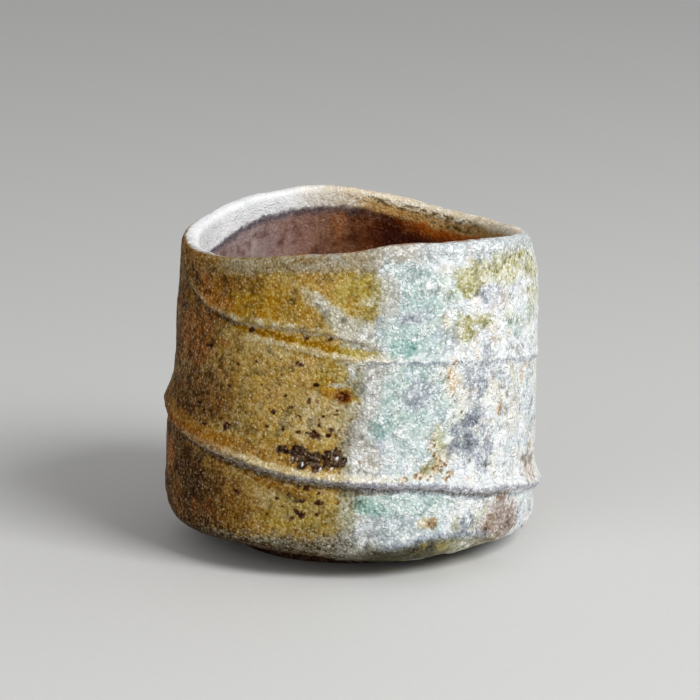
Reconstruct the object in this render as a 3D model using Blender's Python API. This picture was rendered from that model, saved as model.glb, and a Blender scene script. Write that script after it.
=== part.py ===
"""Sake cup: a small hand-formed stoneware cup with a spiral ridge, coated in wood-ash glaze.

The clay wall stands on a floor slab, and the slab stands on a turned foot ring. Four fused coats of glaze
cover the clay: the ash coat on the outside, a thick ash run let into its front, the pale coat over the lip,
and the dark liner inside.

Units are metres, +Z is up, the cup stands on z = 0 and its front faces -Y. A place round the cup is given in
turns: 0 at the left (-X), 0.25 at the front (-Y), 0.5 at the right (+X) and 0.75 at the back (+Y).
"""

import math

import bmesh
import bpy

# Body
BODY_RADIUS = 0.0321  # finished outside, low on the body
RIM_NARROWING = 0.0018  # how much smaller the radius is at the rim
RIM_HEIGHT = 0.0550  # mean height of the rim above the table
RIM_WAVE = 0.0024  # rise and fall of the rim about that height
RIM_PEAK_TURN = 0.319  # where one of the rim's two crests lies
RIM_WALL = 0.0030  # finished wall at the rim
LOW_WALL = 0.0048  # finished wall just above the floor
LEAN = 0.0015  # sideways shift of the rim over the base
BASE_SHIFT = -0.0004  # sideways shift of the base
BASE_ROUND = 0.0045  # radius of the rounded lower edge
BASE_SLOPE = math.radians(20)  # rise of the trimmed underside towards that edge
BASE_LIFT = 0.0013  # height of the underside above the table, at the inner edge of its coat
FLOOR_HEIGHT = 0.0083  # height of the finished floor inside
FLOOR_FILLET = 0.0060  # radius between the floor and the wall inside

# Spiral ridge
SPIRAL_DROP = 0.0107  # from the rim's mean height down to where the ridge starts, at turn 0
SPIRAL_PITCH = 0.0220  # fall of the ridge in one turn
SPIRAL_TILT = 0.0017  # how much higher each lap lies on the left
SPIRAL_SAG = 0.0009  # how far the first lap sags at the front and the back
SPIRAL_LIFT = 0.0015  # how much higher each lap lies right of the front
SPIRAL_LIFT_TURN = 0.39  # middle of that lift
SPIRAL_LIFT_REACH = 0.22  # turns over which it fades on each side
RIDGE_RISE = 0.0011  # how far the crest stands out of the wall
RIDGE_FLARE = 0.0050  # height over which the wall flares out above the crest
RIDGE_UNDERCUT = 0.0013  # height over which it steps back in below the crest
RIDGE_GROWTH = 0.80  # turns over which it grows out of the wall to its full size
RIDGE_RUN_OUT = 0.0020  # height above the base over which it dies away again

# Foot ring
FOOT_SETBACK = 0.0121  # from the body's outside to the ring's outer edge on the table
FOOT_WIDTH = 0.0048  # width of the ring's flat face
FOOT_FLARE = 0.0014  # how much wider the ring is at its top
FOOT_BEVEL = 0.0004  # eased edges of the ring

# Glaze coats
GLAZE = 0.0006  # thickness of every coat
SEAM = 0.0003  # gap between neighbouring pieces
BARE_CLAY = 0.0020  # unglazed strip between the foot ring and the ash coat
LIP_BAND = 0.0070  # mean depth of the lip coat inside the rim
LIP_BAND_SWAY = 0.0020  # how much deeper it is on the left, and shallower on the right
RUN_TURN = 0.288  # middle of the ash run
RUN_WIDTH = 0.0185  # width of the ash run round the wall
RUN_RISE = 0.0003  # how far the run stands proud of the coat

# Fineness of the meshes
COAT_COLUMNS = 44  # spaces between meridians round the ash coat
RUN_COLUMNS = 5  # spaces between meridians across the ash run
ARC_STEPS = 4  # steps in a rounded corner
CROWN_STEPS = 4  # steps over the rounded rim
INSIDE_STEPS = 5  # steps up the plain wall inside
BEVEL_STEPS = 2

# Heights and radii that follow from those sizes
CLAY_DEPTH = GLAZE + SEAM  # from the finished surface down to the clay
CROWN = RIM_WALL / 2  # radius of the rounded rim
FOOT_RADIUS = BODY_RADIUS - FOOT_SETBACK
FOOT_TOP_RADIUS = FOOT_RADIUS + FOOT_FLARE
COAT_EDGE_RADIUS = FOOT_TOP_RADIUS + BARE_CLAY
BASE_CENTRE = BODY_RADIUS - BASE_ROUND  # radius at which the rounded lower edge has its centre
BASE_TOP = (  # height of that centre, where the rounded edge meets the wall
    BASE_LIFT + (BASE_CENTRE - COAT_EDGE_RADIUS) * math.tan(BASE_SLOPE) + BASE_ROUND / math.cos(BASE_SLOPE)
)
SLAB_BOTTOM = BASE_LIFT + CLAY_DEPTH / math.cos(BASE_SLOPE)
JOINT_HEIGHT = FLOOR_HEIGHT - CLAY_DEPTH  # top of the floor slab, under the wall
ROW_SHARES = (  # rows of vertices from one lap's crest to the next, as shares of the pitch
    0.0,
    RIDGE_UNDERCUT / SPIRAL_PITCH,
    0.22,
    0.42,
    0.62,
    1 - RIDGE_FLARE / SPIRAL_PITCH,
    1 - RIDGE_FLARE / SPIRAL_PITCH / 2,
)
LEAST_ROW_GAP = 0.0005  # a spiral row this near an edge is left out
LOWEST_ROW = max(BASE_TOP, JOINT_HEIGHT + SEAM) + LEAST_ROW_GAP


def ease(share):
    """0 below 0, 1 above 1, and a smooth S between them."""
    share = min(1.0, max(0.0, share))
    return share * share * (3 - 2 * share)


def wave(turn):
    return math.cos(2 * math.pi * turn)


# The shape of the finished cup


def rim_height(turn):
    return RIM_HEIGHT + RIM_WAVE * wave(2 * (turn - RIM_PEAK_TURN))


def shoulder_height(turn):
    """Where the rounded rim begins."""
    return rim_height(turn) - CROWN


def crest_height(turn):
    """Height of the spiral ridge, which goes on falling from lap to lap."""
    sag = SPIRAL_SAG * wave(2 * turn) * (1 - ease(turn))
    lift = SPIRAL_LIFT * (1 - ease(abs(turn % 1 - SPIRAL_LIFT_TURN) / SPIRAL_LIFT_REACH))
    return RIM_HEIGHT - SPIRAL_DROP - SPIRAL_PITCH * turn + SPIRAL_TILT * wave(turn) + sag + lift


def crest_rise(turn):
    """How far the ridge stands out: it grows from the upper lap to the lower one, then runs out."""
    grown = ease(turn / RIDGE_GROWTH)
    left = ease((crest_height(turn) - BASE_TOP) / RIDGE_RUN_OUT)
    return RIDGE_RISE * grown * left


def ridge(turn, height):
    """What the laps of the ridge add to the radius: a flare above each crest and a step below it."""
    total = 0.0
    for lap in (0, 1):
        above = height - crest_height(turn % 1 + lap)
        reach = RIDGE_FLARE if above > 0 else RIDGE_UNDERCUT
        total += crest_rise(turn % 1 + lap) * (1 - ease(abs(above) / reach))
    return total * ease((height - BASE_TOP) / RIDGE_UNDERCUT)


def body_radius(height):
    """Finished outer radius without the ridge: straight below, drawn in towards the rim."""
    share = max(0.0, (height - BASE_TOP) / (RIM_HEIGHT - BASE_TOP))
    return BODY_RADIUS - RIM_NARROWING * share * share


def outer_radius(turn, height, depth):
    """Radius of the outside, this deep under the finished surface."""
    below = BASE_TOP - height
    if below > 0:
        return BASE_CENTRE + math.sqrt((BASE_ROUND - depth) ** 2 - below**2)
    return body_radius(height) + ridge(turn, height) - depth


def inner_radius(turn, height):
    """Finished radius inside, where the wall thins towards the rim."""
    top = shoulder_height(turn)
    share = (height - FLOOR_HEIGHT) / (top - FLOOR_HEIGHT)
    return body_radius(height) - LOW_WALL + (LOW_WALL - RIM_WALL) * share


def lip_edge_height(turn):
    """Lower edge of the lip coat inside."""
    return rim_height(turn) - LIP_BAND - LIP_BAND_SWAY * wave(turn)


def place(turn, radius, height):
    """The point at this turn, radius and height, on the leaning body."""
    share = max(0.0, (height - BASE_TOP) / (RIM_HEIGHT - BASE_TOP))
    centre = BASE_SHIFT + LEAN * share
    angle = 2 * math.pi * turn
    return (centre - radius * math.cos(angle), -radius * math.sin(angle), height)


# Stretches of a meridian: lists of (row name, point), which neighbouring meridians share by name


def outer_rows(turn, depth, low):
    """Up the outside from height low to the rim's shoulder, with rows that ride the spiral."""
    high = shoulder_height(turn)
    rows = []
    for lap in range(-2, 3):
        crest, next_crest = crest_height(turn + lap), crest_height(turn + lap + 1)
        for number, share in enumerate(ROW_SHARES):
            height = crest + (next_crest - crest) * share
            if LOWEST_ROW < height < high - LEAST_ROW_GAP:
                rows.append((("spiral", lap * len(ROW_SHARES) + number, depth), height))
    rows.sort(key=lambda row: row[1])
    rows = [(("low", 0, depth), low), *rows, (("high", 0, depth), high - SEAM)]
    return [(name, place(turn, outer_radius(turn, z, depth), z)) for name, z in rows]


def base_rows(turn, depth, high):
    """From the inner edge of the underside, out along its slope and up round the lower edge to height high."""
    edge_height = BASE_LIFT + depth / math.cos(BASE_SLOPE)
    rows = [(("edge", 0, depth), place(turn, COAT_EDGE_RADIUS, edge_height))]
    reach = BASE_ROUND - depth
    last = math.acos(max(0.0, (BASE_TOP - high) / reach))
    for step in range(ARC_STEPS + 1):
        angle = BASE_SLOPE + (last - BASE_SLOPE) * step / ARC_STEPS
        radius = BASE_CENTRE + reach * math.sin(angle)
        rows.append((("base", step, depth), place(turn, radius, BASE_TOP - reach * math.cos(angle))))
    return rows


def crown_rows(turn, depth):
    """Over the rounded rim, from its outer shoulder to its inner one."""
    shoulder = shoulder_height(turn)
    middle = body_radius(shoulder) - CROWN
    rows = []
    for step in range(CROWN_STEPS + 1):
        angle = math.pi * step / CROWN_STEPS
        radius = middle + (CROWN - depth) * math.cos(angle)
        height = shoulder + (CROWN - depth) * math.sin(angle)
        rows.append((("crown", step, depth), place(turn, radius, height)))
    return rows


def inside_rows(turn, depth, high, low):
    """Down the wall inside, from one height to the other."""
    rows = []
    for step in range(1, INSIDE_STEPS + 1):
        height = high + (low - high) * step / INSIDE_STEPS
        radius = inner_radius(turn, height) + depth
        rows.append((("inside", step, depth), place(turn, radius, height)))
    return rows


def fillet_rows(turn, depth, low):
    """Down the rounded corner inside, to height low."""
    fillet_top = FLOOR_HEIGHT + FLOOR_FILLET
    middle = inner_radius(turn, fillet_top) - FLOOR_FILLET
    reach = FLOOR_FILLET + depth
    last = math.asin(min(1.0, (fillet_top - low) / reach))
    rows = []
    for step in range(1, ARC_STEPS + 1):
        angle = last * step / ARC_STEPS
        point = place(turn, middle + reach * math.cos(angle), fillet_top - reach * math.sin(angle))
        rows.append((("fillet", step, depth), point))
    return rows


def axis_row(name, height):
    return [((name, 0, 0), place(0, 0, height))]


# Closed outlines of each piece's cross-section on one meridian


def wall_outline(turn):
    bottom = JOINT_HEIGHT + SEAM
    fillet_top = FLOOR_HEIGHT + FLOOR_FILLET
    return [
        *outer_rows(turn, CLAY_DEPTH, bottom),
        *crown_rows(turn, CLAY_DEPTH),
        *inside_rows(turn, CLAY_DEPTH, shoulder_height(turn), fillet_top),
        *fillet_rows(turn, CLAY_DEPTH, bottom),
    ]


def floor_outline(turn):
    rows = axis_row("under", SLAB_BOTTOM) + base_rows(turn, CLAY_DEPTH, JOINT_HEIGHT)
    if JOINT_HEIGHT > BASE_TOP + SEAM:
        radius = outer_radius(turn, JOINT_HEIGHT, CLAY_DEPTH)
        rows.append((("side", 0, 0), place(turn, radius, JOINT_HEIGHT)))
    return rows + axis_row("top", JOINT_HEIGHT)


def foot_outline(turn):
    top = SLAB_BOTTOM - SEAM
    corners = (
        (FOOT_RADIUS, 0),
        (FOOT_TOP_RADIUS, top),
        (FOOT_RADIUS - FOOT_WIDTH - FOOT_FLARE, top),
        (FOOT_RADIUS - FOOT_WIDTH, 0),
    )
    return [(("corner", n, 0), place(turn, r, z)) for n, (r, z) in enumerate(corners)]


def coat_side(turn, depth):
    return base_rows(turn, depth, BASE_TOP)[:-1] + outer_rows(turn, depth, BASE_TOP)


def coat_outline(turn):
    return coat_side(turn, 0) + coat_side(turn, GLAZE)[::-1]


def run_outline(turn):
    return coat_side(turn, -RUN_RISE) + coat_side(turn, GLAZE)[::-1]


def lip_side(turn, depth):
    high, low = shoulder_height(turn), lip_edge_height(turn)
    return crown_rows(turn, depth) + inside_rows(turn, depth, high, low)


def lip_outline(turn):
    return lip_side(turn, 0) + lip_side(turn, GLAZE)[::-1]


def liner_side(turn, depth):
    high = lip_edge_height(turn) - SEAM
    fillet_top = FLOOR_HEIGHT + FLOOR_FILLET
    edge = (("edge", 0, depth), place(turn, inner_radius(turn, high) + depth, high))
    rows = [edge, *inside_rows(turn, depth, high, fillet_top)]
    return rows + fillet_rows(turn, depth, FLOOR_HEIGHT - depth)


def liner_outline(turn):
    inside = liner_side(turn, 0) + axis_row("top", FLOOR_HEIGHT)
    outside = liner_side(turn, GLAZE) + axis_row("under", FLOOR_HEIGHT - GLAZE)
    return inside + outside[::-1]


# Building


def lace(bm, left, right):
    """Faces between two meridians, from each row that both of them have to the next."""
    shared = [row for row in left if row in right]
    left_rows, right_rows = list(left), list(right)
    for row, after in zip(shared, [*shared[1:], shared[0]]):
        corners = stretch(left_rows, row, after, left) + stretch(right_rows, row, after, right)[::-1]
        bm.faces.new(corners)


def stretch(rows, first, last, column):
    """The vertices of a column from one row to another, both included, going on past its end."""
    start, stop = rows.index(first), rows.index(last)
    if stop <= start:
        stop += len(rows)
    return [column[rows[n % len(rows)]] for n in range(start, stop + 1)]


def one_turn_on(column):
    """The column's rows under the names that they have one turn later, when the spiral is one lap lower."""
    lap = len(ROW_SHARES)
    return {(k, n - lap if k == "spiral" else n, d): vert for (k, n, d), vert in column.items()}


def cap(bm, column):
    """Closes the end of a piece that doesn't go all the way round. Its outline goes up one side and down the other."""
    verts = list(column.values())
    for n in range(len(verts) // 2 - 1):
        bm.faces.new((verts[n], verts[n + 1], verts[-n - 2], verts[-n - 1]))


def build(name, outline, finish, turns, closed):
    """One solid: its outline on the meridian at each turn, laced together, and closed round the cup or capped."""
    bm = bmesh.new()
    columns = [{row: bm.verts.new(point) for row, point in outline(turn)} for turn in turns]
    for left, right in zip(columns, columns[1:]):
        lace(bm, left, right)
    if closed:
        lace(bm, columns[-1], one_turn_on(columns[0]))
    else:
        cap(bm, columns[0])
        cap(bm, columns[-1])
    bmesh.ops.remove_doubles(bm, verts=bm.verts, dist=1e-6)
    bmesh.ops.recalc_face_normals(bm, faces=bm.faces)
    mesh = bpy.data.meshes.new(name)
    bm.to_mesh(mesh)
    bm.free()
    mesh.shade_smooth()
    mesh.set_sharp_from_angle(angle=math.radians(40))
    mesh.materials.append(finish)
    piece = bpy.data.objects.new(name, mesh)
    bpy.context.scene.collection.objects.link(piece)
    return piece


def even_turns(first, last, columns):
    return [first + (last - first) * n / columns for n in range(columns + 1)]


def finish_of(name, colour, roughness):
    """A plain material in this colour."""
    material = bpy.data.materials.new(name)
    material.use_nodes = True
    shader = material.node_tree.nodes["Principled BSDF"]
    shader.inputs["Base Color"].default_value = (*colour, 1.0)
    shader.inputs["Roughness"].default_value = roughness
    shader.inputs["Metallic"].default_value = 0.0
    return material


def main():
    for old in list(bpy.data.objects):
        bpy.data.objects.remove(old)
    clay = finish_of("bare_clay", (0.27, 0.17, 0.11), 0.85)
    ash = finish_of("ochre_ash_glaze", (0.40, 0.29, 0.14), 0.55)
    run = finish_of("green_ash_run", (0.52, 0.58, 0.52), 0.40)
    lip = finish_of("white_ash_glaze", (0.66, 0.64, 0.60), 0.60)
    liner = finish_of("brown_liner_glaze", (0.16, 0.08, 0.06), 0.45)

    half = RUN_WIDTH / 2 / (2 * math.pi * BODY_RADIUS)
    gap = SEAM / (2 * math.pi * BODY_RADIUS)
    first, last = RUN_TURN - half, RUN_TURN + half
    run_turns = even_turns(first, last, RUN_COLUMNS)
    coat_turns = even_turns(last + gap, first + 1 - gap, COAT_COLUMNS)
    ring_turns = run_turns + coat_turns[1:-1]

    build("clay_wall", wall_outline, clay, ring_turns, closed=True)
    build("clay_floor", floor_outline, clay, ring_turns, closed=True)
    foot = build("foot_ring", foot_outline, clay, ring_turns, closed=True)
    bevel = foot.modifiers.new("eased_edges", "BEVEL")
    bevel.width = FOOT_BEVEL
    bevel.segments = BEVEL_STEPS
    bevel.limit_method = "ANGLE"

    build("ash_run", run_outline, run, run_turns, closed=False)
    build("ash_coat", coat_outline, ash, coat_turns, closed=False)
    build("lip_coat", lip_outline, lip, ring_turns, closed=True)
    build("liner_coat", liner_outline, liner, ring_turns, closed=True)


main()
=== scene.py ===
"""Looks of the sake cup: hand-formed stoneware with a spiral ridge, under natural wood-ash glaze.

Lengths are metres, or millimetres where a name or a docstring says so. +Z is up and the front faces -Y.
A place round the cup is given in turns: 0 at the left, 0.25 at the front, 0.5 at the right, 0.75 at the back.
"""

from __future__ import annotations
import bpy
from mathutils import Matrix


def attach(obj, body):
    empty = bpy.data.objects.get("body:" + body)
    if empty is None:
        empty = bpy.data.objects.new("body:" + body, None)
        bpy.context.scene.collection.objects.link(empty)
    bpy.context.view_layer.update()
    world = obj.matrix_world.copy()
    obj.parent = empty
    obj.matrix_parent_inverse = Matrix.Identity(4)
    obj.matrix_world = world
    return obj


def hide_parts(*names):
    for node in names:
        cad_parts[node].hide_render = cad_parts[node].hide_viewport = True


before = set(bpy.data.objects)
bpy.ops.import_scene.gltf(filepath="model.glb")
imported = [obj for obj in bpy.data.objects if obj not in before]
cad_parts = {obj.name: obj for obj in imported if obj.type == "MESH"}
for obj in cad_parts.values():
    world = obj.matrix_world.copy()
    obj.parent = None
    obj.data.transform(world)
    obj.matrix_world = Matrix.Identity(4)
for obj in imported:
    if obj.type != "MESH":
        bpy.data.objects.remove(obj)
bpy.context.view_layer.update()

import logging
import math
from dataclasses import dataclass
from enum import Enum
from typing import ClassVar

import bmesh
import bpy
import numpy as np
from mathutils import Vector
from numpy.typing import NDArray

LOG = logging.getLogger("sake_cup")
Field = NDArray[np.float64]
MM = 0.001
AROUND = 2 * math.pi * 31.5  # millimetres round the outside in one turn
VEIN_LEAN = 35.0  # degrees by which the veins in the glaze rise to the right
COLOUR = "fired_colour"
SURFACE = "fired_surface"


# Curves and noise


def ease(share: Field) -> Field:
    """0 below 0, 1 above 1, and the smooth S-curve 3x^2 - 2x^3 between them."""
    share = np.clip(share, 0.0, 1.0)
    return share * share * (3 - 2 * share)


def wave(turn: Field) -> Field:
    """A cosine that comes back after one turn."""
    return np.cos(2 * math.pi * turn)


def blend(first: Field, second: Field, share: Field) -> Field:
    """Goes from the first colour to the second one as the share goes from 0 to 1."""
    return first + (second - first) * np.asarray(share)[..., None]


def turns_from(turn: Field, centre: float) -> Field:
    """Signed turns from a centre, the short way round."""
    return (turn - centre + 0.5) % 1.0 - 0.5


def stretch(turn: Field, first: float, last: float, soft: float = 0.02) -> Field:
    """1 from one turn to another, also past the start of the lap, falling to 0 over soft turns outside."""
    middle, half = (first + last) / 2, (last - first) / 2
    return 1 - ease((np.abs(turns_from(turn, middle)) - half) / soft)


def slanted(across: Field, up: Field, lean: float) -> tuple[Field, Field]:
    """Distances along and over a line that leans by some degrees, from distances across and up."""
    rise, run = math.sin(math.radians(lean)), math.cos(math.radians(lean))
    return across * run + up * rise, up * run - across * rise


def scatter(cells: NDArray[np.int64], seed: int) -> Field:
    """A fixed number from 0 to 1 for each whole-number cell, from mixing the bits of its three coordinates.

    Args:
        cells: Whole-number coordinates, in the last axis.
        seed: Chooses one of many independent mixtures.

    Returns:
        One number for each cell.
    """
    mixed = (cells[..., 0] * 73856093) ^ (cells[..., 1] * 19349663) ^ (cells[..., 2] * 83492791)
    mixed = (mixed ^ (seed * 668265263)) & 0xFFFFFFFF
    mixed = ((mixed ^ (mixed >> 15)) * 0x2C1B3C6D) & 0xFFFFFFFF
    mixed = ((mixed ^ (mixed >> 12)) * 0x297A2D39) & 0xFFFFFFFF
    mixed = mixed ^ (mixed >> 15)
    return (mixed & 0xFFFFFF) / float(0xFFFFFF)


def lattice_noise(points: Field, size: float, seed: int) -> Field:
    """Smooth noise: random values on a cubic lattice, blended between its corners by S-curves.

    Args:
        points: Places in space, in the last axis.
        size: Width of a lattice cell.
        seed: Chooses the noise.

    Returns:
        Values from -1 to 1.
    """
    scaled = points / size
    corner = np.floor(scaled).astype(np.int64)
    share = ease(scaled - corner)
    total = np.zeros(points.shape[:-1])
    for step in np.ndindex(2, 2, 2):
        weight = np.prod(np.where(np.array(step, bool), share, 1 - share), axis=-1)
        total += weight * scatter(corner + np.array(step), seed)
    return 2 * total - 1


def layered_noise(points: Field, size: float, seed: int, layers: int = 3) -> Field:
    """Lattice noise in layers, each half as wide and half as strong as the one before.

    Args:
        points: Places in space, in the last axis.
        size: Width of a cell in the first layer.
        seed: Chooses the noise.
        layers: Number of layers.

    Returns:
        Values from about -1 to 1.
    """
    total = sum(lattice_noise(points, size / 2**n, seed + n) / 2**n for n in range(layers))
    return total / (2 - 2.0 ** (1 - layers)) * 1.5


def cell_noise(points: Field, size: float, seed: int) -> tuple[Field, Field]:
    """Distance to the nearest of many spots, one at a random place in each cube of a lattice.

    Args:
        points: Places in space, in the last axis.
        size: Width of a cube.
        seed: Chooses the spots.

    Returns:
        The distance in sizes, and a number from 0 to 1 that belongs to the nearest spot.
    """
    scaled = points / size
    corner = np.floor(scaled).astype(np.int64)
    nearest = np.full(points.shape[:-1], 9.0)
    lot = np.zeros(points.shape[:-1])
    for step in np.ndindex(3, 3, 3):
        cell = corner + np.array(step) - 1
        spot = cell + np.stack([scatter(cell, seed + axis) for axis in range(3)], axis=-1)
        distance = np.linalg.norm(scaled - spot, axis=-1)
        lot = np.where(distance < nearest, scatter(cell, seed + 3), lot)
        nearest = np.minimum(nearest, distance)
    return nearest, lot


# Shape of the cup


@dataclass(frozen=True)
class Skin:
    """A stretch of surface on a grid, with rows along the meridian and columns round the cup.

    out and up are the two parts of the surface's direction outwards.
    """

    turn: Field
    radius: Field
    height: Field
    out: Field
    up: Field

    @staticmethod
    def joined(*parts: Skin) -> Skin:
        """Several stretches, one after the other along the meridian."""
        names = ("turn", "radius", "height", "out", "up")
        return Skin(*(np.concatenate([getattr(part, name) for part in parts]) for name in names))

    def reversed(self) -> Skin:
        """The same stretch, the other way along the meridian."""
        return Skin(self.turn[::-1], self.radius[::-1], self.height[::-1], self.out[::-1], self.up[::-1])


def skin_of(turn: Field, radius: Field, height: Field, out: Field, up: Field) -> Skin:
    """A stretch of surface from arrays that are spread to one common grid."""
    return Skin(*(np.array(part, float) for part in np.broadcast_arrays(turn, radius, height, out, up)))


@dataclass(frozen=True)
class CupForm:
    """Sizes of the finished cup, as in the part's source, with the hand's small shifts, and its curves."""

    radius: float = 0.0321
    narrowing: float = 0.0018
    rim_mean: float = 0.0550
    rim_wave: float = 0.0024
    rim_peak: float = 0.319
    rim_wall: float = 0.0030
    low_wall: float = 0.0048
    lean: float = 0.0015
    base_shift: float = -0.0004
    base_round: float = 0.0045
    base_slope: float = math.radians(20)
    base_lift: float = 0.0013
    floor_height: float = 0.0083
    fillet: float = 0.0060
    foot_radius: float = 0.0200
    foot_width: float = 0.0048
    foot_flare: float = 0.0014
    bare_clay: float = 0.0020
    clay_depth: float = 0.0009
    lip_band: float = 0.0070
    lip_band_sway: float = 0.0020
    rim_wobble: float = 0.00010
    rim_squareness: float = 0.68
    rim_turns: tuple[float, ...] = (
        0.0, 0.06, 0.12, 0.19, 0.24, 0.29, 0.31, 0.36, 0.42,
        0.54, 0.60, 0.64, 0.70, 0.76, 0.80, 0.85, 0.92, 1.0,
    )
    rim_shifts: tuple[float, ...] = (
        0.0, 0.1, 0.35, 0.15, -0.40, -0.27, -0.45, -0.60, 0.1,
        0.7, 0.35, -0.25, -0.2, 0.1, -0.15, -0.6, -0.75, 0.0,
    )
    pinch: float = 0.0008
    pinch_height: float = 0.0450
    pinch_stretch: tuple[float, float, float] = (0.46, 0.56, 0.07)
    round_stretch: tuple[float, float, float] = (0.43, 0.60, 0.08)

    @property
    def crown(self) -> float:
        """Radius of the rounded rim."""
        return self.rim_wall / 2

    @property
    def coat_edge(self) -> float:
        """Radius of the ash coat's inner edge, under the cup."""
        return self.foot_radius + self.foot_flare + self.bare_clay

    @property
    def base_centre(self) -> float:
        """Radius at which the rounded lower edge has its centre."""
        return self.radius - self.base_round

    @property
    def base_top(self) -> float:
        """Height of that centre, where the rounded edge meets the wall."""
        rise = (self.base_centre - self.coat_edge) * math.tan(self.base_slope)
        return self.base_lift + rise + self.base_round / math.cos(self.base_slope)

    @property
    def slab_bottom(self) -> float:
        """Height of the bare underside."""
        return self.base_lift + self.clay_depth / math.cos(self.base_slope)

    def plain_rim(self, turn: Field) -> Field:
        """Height of the rim's two waves, without the hand's shifts."""
        return self.rim_mean + self.rim_wave * wave(2 * (turn - self.rim_peak))

    def rim_height(self, turn: Field) -> Field:
        """Height of the rim: two waves round the cup, small shifts made by the hand and a slight wobble.

        Args:
            turn: Turns round the cup.

        Returns:
            The height at each turn.
        """
        ring = np.stack([wave(turn), np.sin(2 * math.pi * turn), 0 * turn], axis=-1) * self.radius
        shift = np.interp(turn % 1.0, self.rim_turns, self.rim_shifts) * MM
        return self.plain_rim(turn) + shift + self.rim_wobble * layered_noise(ring, 5 * MM, 11, 2)

    def shoulder(self, turn: Field) -> Field:
        """Where the rounded rim begins."""
        return self.rim_height(turn) - self.crown

    def lip_edge(self, turn: Field) -> Field:
        """Lower edge of the lip coat inside."""
        return self.plain_rim(turn) - self.lip_band - self.lip_band_sway * wave(turn)

    def share(self, height: Field) -> Field:
        """How far up the wall a height is, from 0 at the base to 1 at the rim's mean height."""
        return np.maximum(0.0, (height - self.base_top) / (self.rim_mean - self.base_top))

    def body_radius(self, turn: Field, height: Field) -> Field:
        """Outer radius without ridges: straight below, drawn in towards the rim and once more at its right.

        Args:
            turn: Turns round the cup.
            height: Heights on the wall.

        Returns:
            The radius at each place.
        """
        high = ease((height - self.pinch_height) / (self.rim_mean - self.pinch_height))
        pinched = stretch(turn, *self.pinch_stretch) * high
        return self.radius - self.narrowing * self.share(height) ** 2 - self.pinch * pinched

    def inner_radius(self, turn: Field, height: Field) -> Field:
        """Radius inside, where the wall thins towards the rim."""
        share = (height - self.floor_height) / (self.shoulder(turn) - self.floor_height)
        return self.body_radius(turn, height) - self.low_wall + (self.low_wall - self.rim_wall) * share

    def place(self, turn: Field, radius: Field, height: Field) -> Field:
        """Points at these turns, radii and heights on the leaning body, in the last axis."""
        centre, angle = self.base_shift + self.lean * self.share(height), 2 * math.pi * turn
        across, back = centre - radius * np.cos(angle), -radius * np.sin(angle)
        return np.stack([across, back, height + 0 * angle], axis=-1)

    def lifted(self, skin: Skin, amount: Field) -> Field:
        """Points of a stretch of surface, moved outwards by an amount."""
        return self.place(skin.turn, skin.radius + skin.out * amount, skin.height + skin.up * amount)

    def base(self, turns: Field, slope_rows: int, arc_rows: int) -> Skin:
        """The underside and the lower edge: out along the slope, then round the edge to the wall.

        Args:
            turns: The columns' places round the cup.
            slope_rows: Rows on the underside.
            arc_rows: Rows round the lower edge.

        Returns:
            The plain surface.
        """
        turn = turns[None, :]
        start = self.base_slope
        share = np.linspace(0, 1, slope_rows, endpoint=False)[:, None]
        corner_radius = self.base_centre + self.base_round * math.sin(start)
        corner_height = self.base_top - self.base_round * math.cos(start)
        slope = skin_of(
            turn,
            self.coat_edge + (corner_radius - self.coat_edge) * share,
            self.base_lift + (corner_height - self.base_lift) * share,
            math.sin(start),
            -math.cos(start),
        )
        angle = np.linspace(start, math.pi / 2, arc_rows, endpoint=False)[:, None]
        arc = skin_of(
            turn,
            self.base_centre + self.base_round * np.sin(angle),
            self.base_top - self.base_round * np.cos(angle),
            np.sin(angle),
            -np.cos(angle),
        )
        return Skin.joined(slope, arc)

    def wall(self, turns: Field, low: Field, high: Field, rows: int) -> Skin:
        """The wall outside from one height to another, without ridges."""
        height = low + (high - low) * np.linspace(0, 1, rows)[:, None]
        return skin_of(turns[None, :], self.body_radius(turns[None, :], height), height, 1.0, 0.0)

    def outside(self, turns: Field, slope_rows: int, arc_rows: int, wall_rows: int) -> Skin:
        """The whole outside, from the coat's edge under the cup to the rim's shoulder."""
        wall = self.wall(turns, self.base_top, self.shoulder(turns[None, :]), wall_rows)
        return Skin.joined(self.base(turns, slope_rows, arc_rows), wall)

    def over_rim(self, turns: Field, rows: int) -> Skin:
        """Over the rim, from the outer shoulder to the inner one: a half circle, squared except at the right.

        Args:
            turns: The columns' places round the cup.
            rows: Number of rows.

        Returns:
            The plain surface.
        """
        turn = turns[None, :]
        angle = np.linspace(0, math.pi, rows)[:, None]
        shoulder = self.shoulder(turn)
        middle = self.body_radius(turn, shoulder) - self.crown
        across, up = np.cos(angle), np.maximum(np.sin(angle), 0.0)
        square = self.rim_squareness + (1 - self.rim_squareness) * stretch(turn, *self.round_stretch)
        return skin_of(
            turn,
            middle + self.crown * np.sign(across) * np.abs(across) ** square,
            shoulder + self.crown * up**square,
            across,
            up,
        )

    def inside_wall(self, turn: Field, top: Field, low: Field, share: Field) -> Skin:
        """The wall inside, at these shares of the way from one height down to another."""
        height = top + (low - top) * share
        return skin_of(turn, self.inner_radius(turn, height), height, -1.0, 0.0)

    def inside_band(self, turns: Field, rows: int) -> Skin:
        """Down the wall inside, from just under the inner shoulder to the lower edge of the lip coat."""
        turn, share = turns[None, :], np.linspace(0, 1, rows + 1)[1:, None]
        return self.inside_wall(turn, self.shoulder(turn), self.lip_edge(turn), share)

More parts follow.
